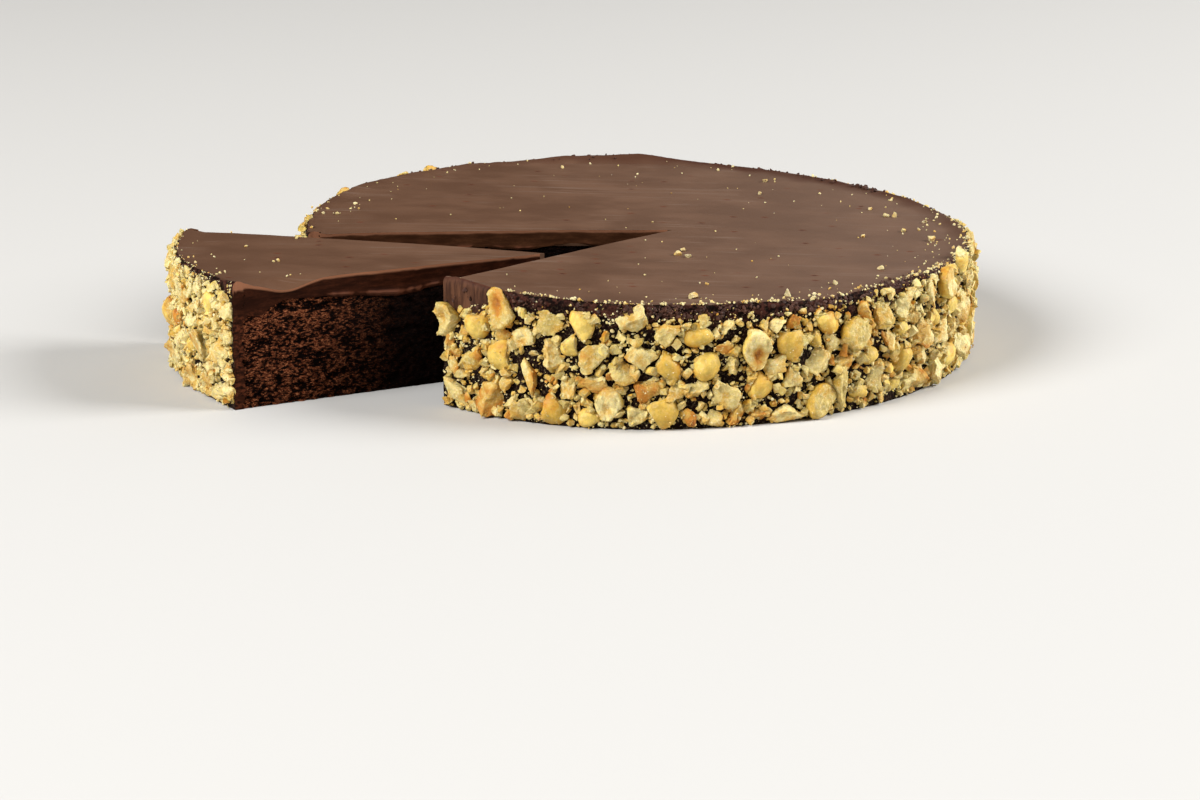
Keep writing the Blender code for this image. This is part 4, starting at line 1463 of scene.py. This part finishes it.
def combine(tree, operation, first, second):
    node = add_node(tree, "ShaderNodeMath", operation=operation)
    for socket, value in zip(node.inputs, (first, second)):
        set_or_link(tree, socket, value)
    return node.outputs[0]


def product(tree, first, second):
    return combine(tree, "MULTIPLY", first, second)


def mixed(tree, first, second, share):
    """Two values added, the first times share and the second times what is left."""
    return combine(tree, "ADD", product(tree, first, share), product(tree, second, 1 - share))


def add_bump(tree, shader, height, distance):
    bump = add_node(tree, "ShaderNodeBump")
    bump.inputs["Distance"].default_value = distance
    link(tree, height, bump.inputs["Height"])
    link(tree, bump.outputs["Normal"], shader.inputs["Normal"])


def stretched_place(tree, place, scale):
    mapping = add_node(tree, "ShaderNodeMapping")
    mapping.inputs["Scale"].default_value = scale
    link(tree, place, mapping.inputs["Vector"])
    return mapping.outputs["Vector"]


def split_colour(tree, colour):
    parts = add_node(tree, "ShaderNodeSeparateColor")
    link(tree, colour, parts.inputs["Color"])
    return parts.outputs["Red"], parts.outputs["Green"], parts.outputs["Blue"]


def read_values(tree, name):
    """The four values that a piece stores at its points under this name."""
    values = add_node(tree, "ShaderNodeAttribute", attribute_name=name)
    return *split_colour(tree, values.outputs["Color"]), values.outputs["Alpha"]


def print_nodes(*finishes):
    """Says how many nodes each finish takes."""
    for finish in finishes:
        print(finish.name, "has", len(finish.node_tree.nodes), "nodes")


# %% [markdown]
# ## Set ganache
# On the top the ganache is a smooth satin brown with soft paler swirls, small reddish spots, pits where air
# came up, hair-fine scratches, and a redder rim. Light and shade are painted into the top as well: a
# painted sheen makes it paler towards the right and darker towards the left, and painted shade darkens
# the pits and the rim, the rim most at the back on the right. Under the rim it is torn and reddish, with
# pale meal worked into it, and painted nearly black among the nuts as shade, except on the bare band,
# where a palette knife left faint upright marks. On the cuts the blade left level streaks, pulled some
# crumb into the lower edge, and raised a ridge and a burr, which are painted paler as highlights; the
# cuts themselves are darkened by painted shade, the slice's the most. All this could be painted as
# pictures, but noise that is read at the coat's own coordinates has no seams and stays sharp close up.
# The patterns are made in one place, and the top, the side and the cuts each colour them in their own
# way. The values stored with the coat say where each of these belongs.

# %% Work out the patterns that the ganache shares
PIT_SCALE, SCRATCH_SCALE, SCRATCH_DETAIL = 84.0, 120.0, 3


def ganache_patterns(tree, place):
    """Values that change over the coat: mottling, grain, scratches, spots and the place itself."""
    soft = add_grain(tree, place, 26.0, 420.0).outputs
    swirl = add_grain(tree, stretched_place(tree, place, (1.0, 2.0, 1.0)), 38.0, 1400.0).outputs
    marks = add_grain(tree, stretched_place(tree, place, (1.0, 1.0, 0.12)), 620.0, 1500.0).outputs
    scratches = add_node(tree, "ShaderNodeTexNoise")
    scratches.inputs["Scale"].default_value = SCRATCH_SCALE
    scratches.inputs["Detail"].default_value = SCRATCH_DETAIL
    link(tree, stretched_place(tree, place, (0.12, 6.0, 1.0)), scratches.inputs["Vector"])
    spots = add_node(tree, "ShaderNodeTexVoronoi", feature="F1", voronoi_dimensions="2D")
    spots.inputs["Scale"].default_value = PIT_SCALE
    link(tree, stretched_place(tree, place, (1.0, 1.6, 1.0)), spots.inputs["Vector"])
    chosen = split_colour(tree, spots.outputs["Color"])[0]
    near = ranged(tree, spots.outputs["Distance"], 0.04, 0.16, 1.0, 0.0)
    nearest = ranged(tree, spots.outputs["Distance"], 0.03, 0.09, 0.9, 0.0)
    where = add_node(tree, "ShaderNodeSeparateXYZ")
    link(tree, place, where.inputs["Vector"])
    return SimpleNamespace(
        soft=soft["Patches"],
        soft_grain=soft["Height"],
        swirl=swirl["Patches"],
        swirl_grain=swirl["Height"],
        tone=mixed(tree, soft["Patches"], swirl["Patches"], 0.5),
        marks=marks["Patches"],
        scratches=scratches.outputs["Fac"],
        spot=product(tree, near, ranged(tree, chosen, 0.80, 0.92)),
        # Pits where air came up, painted dark as the shade inside them
        pit_shade=product(tree, nearest, ranged(tree, chosen, 0.92, 0.95)),
        across=where.outputs["X"],
        up=where.outputs["Z"],
    )


# %% Colour the top of the ganache
GANACHE_DARK, GANACHE_PALE = (0.086, 0.0400, 0.0210), (0.124, 0.0620, 0.0350)
# The sheen-and-scratches colour is a painted sheen that pales the right of the top, and the colour of its
# pale scratches
GANACHE_SHEEN_AND_SCRATCHES, GANACHE_RED_RIM_AND_SHADE = (0.185, 0.125, 0.092), (0.052, 0.0165, 0.0080)
# The pit colour is painted shade inside the pits where air came up
GANACHE_SPOT, GANACHE_PIT_SHADE = (0.110, 0.0300, 0.0130), (0.030, 0.0085, 0.0045)


def top_colour(tree, look, rim):
    """Satin brown, with a painted sheen that makes it paler towards the right and darker towards the left,
    reddish spots, pits darkened by painted shade, pale scratches, and a redder rim darkened by painted shade.
    """
    base = blend_colours(tree, ranged(tree, look.tone, 0.38, 0.62), GANACHE_DARK, GANACHE_PALE)
    scratched = ranged(tree, look.scratches, 0.56, 0.66, 0.0, 0.45)
    return layered(tree, base, (
        # Painted sheen: the top is paler towards the right and darker towards the left
        (ranged(tree, look.across, -0.06, 0.10, 0.0, 0.28), GANACHE_SHEEN_AND_SCRATCHES),
        (ranged(tree, look.across, -0.15, -0.04, 0.4, 0.0), GANACHE_DARK),
        (ranged(tree, look.swirl_grain, 0.56, 0.68, 0.0, 0.35), GANACHE_DARK),
        (product(tree, look.spot, 0.85), GANACHE_SPOT),
        (look.pit_shade, GANACHE_PIT_SHADE),
        (product(tree, scratched, ranged(tree, look.soft, 0.46, 0.58)), GANACHE_SHEEN_AND_SCRATCHES),
        # The rim: redder, and darkened by painted shade, most at the back on the right
        (product(tree, rim, ranged(tree, look.swirl, 0.3, 0.6, 0.7, 1.0)), GANACHE_RED_RIM_AND_SHADE),
    ))


# %% Colour the side of the ganache
GANACHE_BAND_DARK, GANACHE_BAND = (0.032, 0.0120, 0.0058), (0.116, 0.0480, 0.0235)
# The side's darkest colour is painted shade, nearly black among the nuts
GANACHE_SIDE_SHADE, GANACHE_TORN_PALE = (0.0050, 0.0016, 0.0012), (0.056, 0.0180, 0.0125)
MEAL_DUST, GANACHE_LIP = (0.42, 0.31, 0.17), (0.062, 0.0180, 0.0100)


def side_colour(tree, look, bare):
    """Torn and dusted with meal, painted nearly black among the nuts as shade, and marked by a knife on the
    bare band.
    """
    band = blend_colours(tree, ranged(tree, look.marks, 0.36, 0.66), GANACHE_BAND_DARK, GANACHE_BAND)
    # Among the nuts the paler crumbly patches fade, leaving painted shade
    clear_of_nut_shade = ranged(tree, look.up, 0.031, 0.036, 0.12, 1.0)
    crumbly = product(tree, ranged(tree, look.soft_grain, 0.44, 0.62), clear_of_nut_shade)
    torn = blend_colours(tree, crumbly, GANACHE_SIDE_SHADE, GANACHE_TORN_PALE)
    among_nuts = ranged(tree, look.up, 0.031, 0.037, 0.2, 0.06)
    dust = product(tree, ranged(tree, look.swirl_grain, 0.54, 0.62), among_nuts)
    return layered(tree, torn, ((dust, MEAL_DUST), (bare, band)))


# %% Colour the cuts of the ganache
# Both cuts are painted darker than the top as shade, the slice's in deeper shade
CAKE_CUT_SHADE, CAKE_CUT_SHADE_PALE = (0.032, 0.0115, 0.0050), (0.066, 0.0250, 0.0110)
SLICE_CUT_DEEP_SHADE, SLICE_CUT_DEEP_SHADE_PALE = (0.014, 0.0038, 0.0017), (0.038, 0.0104, 0.0045)
CUT_LOW, CUT_PIT, CUT_CRUMB = (0.030, 0.0085, 0.0038), (0.0040, 0.0012, 0.0007), (0.095, 0.0260, 0.0110)
# The ridge and the burr are painted paler than the cut, as highlights
GANACHE_RIDGE_HIGHLIGHT, GANACHE_BURR_HIGHLIGHT = (0.085, 0.0290, 0.0150), (0.270, 0.1150, 0.0620)


def cut_colour(tree, place, look, burr, ridge, dark, pale):
    """Level streaks, crumb pulled into the lower edge, a ridge painted paler as a highlight, and a reddish
    burr along the top painted pale as a highlight.
    """
    streaks = add_grain(tree, stretched_place(tree, place, (1.0, 1.0, 5.0)), 130.0, 800.0).outputs
    crumbs = add_grain(tree, stretched_place(tree, place, (0.8, 0.8, 1.7)), 700.0, 2000.0).outputs
    pulled_crumb = blend_colours(tree, ranged(tree, crumbs["Patches"], 0.42, 0.60), CUT_PIT, CUT_CRUMB)
    low = ranged(tree, look.up, 0.028, 0.0345, 0.8, 0.0)
    base = blend_colours(tree, ranged(tree, streaks["Patches"], 0.35, 0.68), dark, pale)
    return layered(tree, base, (
        (ranged(tree, streaks["Height"], 0.42, 0.60, 0.5, 0.0), dark),
        (ranged(tree, look.up, 0.029, 0.034, 0.85, 0.0), CUT_LOW),
        (product(tree, low, ranged(tree, look.soft_grain, 0.40, 0.54)), pulled_crumb),
        (ranged(tree, ridge, 0.3, 1.0), GANACHE_RIDGE_HIGHLIGHT),
        (ranged(tree, burr, 0.08, 0.45), GANACHE_BURR_HIGHLIGHT),
    ))


# %% Put the ganache together
GANACHE_RELIEF, SIDE_ROUGHER = 0.00012, 0.1


def ganache_relief(tree, look, side, bare):
    """Fine grain with sunken spots all over, coarse where torn, and upright marks on the bare band."""
    fine = product(tree, mixed(tree, look.swirl_grain, look.scratches, 0.6), 0.6)
    fine = combine(tree, "SUBTRACT", fine, product(tree, look.spot, 1.2))
    ragged = product(tree, side, combine(tree, "SUBTRACT", 1.0, bare))
    coarse = product(tree, product(tree, look.soft_grain, ragged), 4.5)
    upright = product(tree, product(tree, look.marks, bare), 1.6)
    return combine(tree, "ADD", combine(tree, "ADD", fine, coarse), upright)


def make_ganache(name, gloss, roughness, cut_colours=None):
    material, tree, shader, place = start_material(name, gloss)
    burr, side, bare, ridge = read_values(tree, "zone")
    look = ganache_patterns(tree, place)
    if cut_colours:
        colour = cut_colour(tree, place, look, burr, ridge, *cut_colours)
    else:
        rim, lip, _, _ = read_values(tree, "rim")
        on_side = ranged(tree, side, 0.35, 0.9)
        colour = blend_colours(tree, on_side, top_colour(tree, look, rim), side_colour(tree, look, bare))
        colour = blend_colours(tree, product(tree, lip, 0.85), colour, GANACHE_LIP)
    link(tree, colour, shader.inputs["Base Color"])
    rough = ranged(tree, look.tone, 0.3, 0.7, *roughness)
    rough = combine(tree, "ADD", rough, product(tree, side, SIDE_ROUGHER))
    link(tree, rough, shader.inputs["Roughness"])
    add_bump(tree, shader, ganache_relief(tree, look, side, bare), GANACHE_RELIEF)
    return material


# The top is satin, while the torn side and the cuts are nearly matt, and the cuts are painted darker as
# shade, the slice's the darkest
top_finish = make_ganache("set ganache", 0.14, (0.52, 0.62))
side_finish = make_ganache("ganache on the side", 0.04, (0.46, 0.56))
cake_cut_finish = make_ganache("cut ganache of the cake in painted shade", 0.05, (0.34, 0.44), (CAKE_CUT_SHADE, CAKE_CUT_SHADE_PALE))
slice_cut_finish = make_ganache("cut ganache of the slice in deeper painted shade", 0.03, (0.34, 0.44), (SLICE_CUT_DEEP_SHADE, SLICE_CUT_DEEP_SHADE_PALE))
print_nodes(top_finish, side_finish, cake_cut_finish, slice_cut_finish)

# %% Make the ganache crumbs' finish
DARK_CRUMB, DARK_CRUMB_PALE, DARK_CRUMB_RELIEF = (0.034, 0.0125, 0.0080), (0.092, 0.0360, 0.0210), 0.0003


def make_dark_crumb_finish():
    material, tree, shader, place = start_material("torn ganache", 0.25)
    grain = add_grain(tree, place, 300.0, 1500.0)
    tone = ranged(tree, grain.outputs["Patches"], 0.34, 0.66)
    link(tree, blend_colours(tree, tone, DARK_CRUMB, DARK_CRUMB_PALE), shader.inputs["Base Color"])
    link(tree, ranged(tree, grain.outputs["Height"], 0.3, 0.7, 0.4, 0.6), shader.inputs["Roughness"])
    add_bump(tree, shader, grain.outputs["Height"], DARK_CRUMB_RELIEF)
    return material


dark_crumb_finish = make_dark_crumb_finish()
print_nodes(dark_crumb_finish)

# %% [markdown]
# ## Dense crumb
# The crumb is a dark reddish brown and moist, and towards the tip of the cut it is painted nearly black
# as shade. Its grains are paler and carry painted glints, and its pits stay dark. The relief that was
# pressed into the mesh is stored with it, so the colour darkens exactly where it is deep, as painted
# shade in the pits, and a finer level grain, pulled by the blade, is added by bump.

# %% Make the crumb
# The third colour is paler grain with painted glints
CRUMB_DARK_AND_SHADE, CRUMB_BROWN, CRUMB_GRAIN_AND_GLINT = (0.0025, 0.0007, 0.0004), (0.105, 0.0260, 0.0105), (0.42, 0.150, 0.065)
CRUMB_RELIEF = 0.0022


def make_crumb_finish():
    material, tree, shader, place = start_material("dense crumb", 0.02)
    depth, outer, _, _ = read_values(tree, "torn")
    torn = add_grain(tree, stretched_place(tree, place, (0.8, 0.8, 1.7)), 900.0, 2000.0).outputs
    broad = add_grain(tree, stretched_place(tree, place, (1.0, 1.0, 2.5)), 60.0, 3000.0).outputs
    # Darker where the relief is deep: painted shade in the pits, with random dark mottling
    tone = mixed(tree, mixed(tree, torn["Patches"], depth, 0.8), broad["Patches"], 0.85)
    base = blend_colours(tree, ranged(tree, tone, 0.435, 0.57), CRUMB_DARK_AND_SHADE, CRUMB_BROWN)
    # Paler grains with painted glints on the raised crumb
    grains_and_glints = product(tree, ranged(tree, torn["Height"], 0.49, 0.59), ranged(tree, tone, 0.46, 0.56))
    # Painted shade: the crumb goes nearly black towards the tip of the cut
    shade_near_tip = ranged(tree, outer, 0.44, 0.80, 0.97, 0.0)
    colour = layered(tree, base, ((grains_and_glints, CRUMB_GRAIN_AND_GLINT), (shade_near_tip, CRUMB_DARK_AND_SHADE)))
    link(tree, colour, shader.inputs["Base Color"])
    link(tree, ranged(tree, torn["Height"], 0.40, 0.62, 0.60, 0.26), shader.inputs["Roughness"])
    add_bump(tree, shader, mixed(tree, torn["Height"], torn["Patches"], 0.4), CRUMB_RELIEF)
    return material


crumb_finish = make_crumb_finish()
print_nodes(crumb_finish)

# %% [markdown]
# ## Toasted hazelnut
# A broken facet is pale cream, the outer skin side golden, and the toasted parts orange-brown in soft
# patches, deepest in the hollow of a split half. No two chips are alike: the three values on each chip
# shift its colour, and the patches run on through the space that the chip lies in.

# %% Make the hazelnut
FACET, FACET_PALE = (0.61, 0.445, 0.120), (0.88, 0.735, 0.33)
SKIN, SKIN_PALE = (0.57, 0.340, 0.038), (0.80, 0.575, 0.12)
MEAL, MEAL_PALE = (0.60, 0.45, 0.18), (0.86, 0.75, 0.44)
POWDER = (0.88, 0.77, 0.47)
GOLDEN, TOASTED, TOASTED_DEEP = (0.60, 0.325, 0.036), (0.53, 0.195, 0.018), (0.27, 0.072, 0.009)
# Each row is a shade, where it starts and is full on the patches' scale, and its share
TOASTING = ((GOLDEN, 0.52, 0.68, 0.75), (TOASTED, 0.68, 0.86, 0.85), (TOASTED_DEEP, 0.88, 1.06, 0.8))


NUT_GLOSS, NUT_RELIEF = 0.25, 0.0016
# Light goes a little way into a nut, red the furthest
NUT_GLOW, NUT_GLOW_SPREAD, NUT_GLOW_DEPTH = 0.2, (1.0, 0.68, 0.33), 0.0015


def make_nut_finish(name, facets, skins):
    material, tree, shader, place = start_material(name, NUT_GLOSS)
    shader.inputs["Subsurface Weight"].default_value = NUT_GLOW
    shader.inputs["Subsurface Radius"].default_value = NUT_GLOW_SPREAD
    shader.inputs["Subsurface Scale"].default_value = NUT_GLOW_DEPTH
    tone, toast, skin, _ = read_values(tree, "chip")
    fine = add_grain(tree, place, 420.0, 1100.0).outputs
    broad = add_grain(tree, place, 190.0, 360.0).outputs

    facet = blend_colours(tree, tone, *facets)
    outside = blend_colours(tree, tone, *skins)
    colour = blend_colours(tree, product(tree, skin, 0.9), facet, outside)
    scaled = add_node(tree, "ShaderNodeVectorMath", operation="SCALE")
    link(tree, colour, scaled.inputs[0])
    link(tree, ranged(tree, fine["Patches"], 0.36, 0.64, 0.76, 1.06), scaled.inputs["Scale"])
    colour = scaled.outputs[0]

    patch = combine(tree, "ADD", broad["Patches"], product(tree, toast, 0.45))
    for shade, low, high, share in TOASTING:
        colour = blend_colours(tree, product(tree, ranged(tree, patch, low, high), share), colour, shade)
    bare_skin = combine(tree, "SUBTRACT", 1.0, product(tree, skin, 0.7))
    untoasted = product(tree, bare_skin, ranged(tree, patch, 0.60, 0.80, 1.0, 0.15))
    powder = product(tree, ranged(tree, fine["Height"], 0.50, 0.62, 0.0, 0.4), untoasted)
    link(tree, blend_colours(tree, powder, colour, POWDER), shader.inputs["Base Color"])
    link(tree, ranged(tree, skin, 0.2, 0.9, 0.62, 0.42), shader.inputs["Roughness"])
    grain = mixed(tree, broad["Height"], fine["Height"], 0.6)
    add_bump(tree, shader, product(tree, grain, ranged(tree, skin, 0.2, 0.9, 1.0, 0.3)), NUT_RELIEF)
    return material


nut_finish = make_nut_finish("toasted hazelnut", (FACET, FACET_PALE), (SKIN, SKIN_PALE))
meal_finish = make_nut_finish("hazelnut meal", (MEAL, MEAL_PALE), (FACET, MEAL_PALE))
print_nodes(nut_finish, meal_finish)

# %% [markdown]
# ## Giving each piece its finish and its place
# Every piece rides on the cake's one body. The dressed coats and crumbs stand for the ganache and crumb
# solids, which are hidden, and the nuts, bits and meal belong with the coats that they are pressed into.

# %% Hand the pieces over
for piece, finishes in (
    (cake_coat, [top_finish, side_finish, cake_cut_finish]),
    (slice_coat, [top_finish, side_finish, slice_cut_finish]),
    (cake_crumb, [crumb_finish]),
    (slice_crumb, [crumb_finish]),
):
    for finish in finishes:
        piece.data.materials.append(finish)
    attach(piece, "root")
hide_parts("cake_ganache")
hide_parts("slice_ganache")
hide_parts("cake_crumb")
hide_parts("slice_crumb")
for piece in nut_pieces:
    piece.data.materials.append(meal_finish if piece.name.endswith(("meal", "crumbs")) else nut_finish)
    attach(piece, "root")
    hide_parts("cake_ganache", "slice_ganache")

ganache_crumbs.data.materials.append(dark_crumb_finish)
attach(ganache_crumbs, "root")
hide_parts("cake_ganache", "slice_ganache")

dressed = [ganache_crumbs, cake_coat, slice_coat, cake_crumb, slice_crumb, *nut_pieces]
print("triangles:", sum(len(polygon.vertices) - 2 for piece in dressed for polygon in piece.data.polygons))
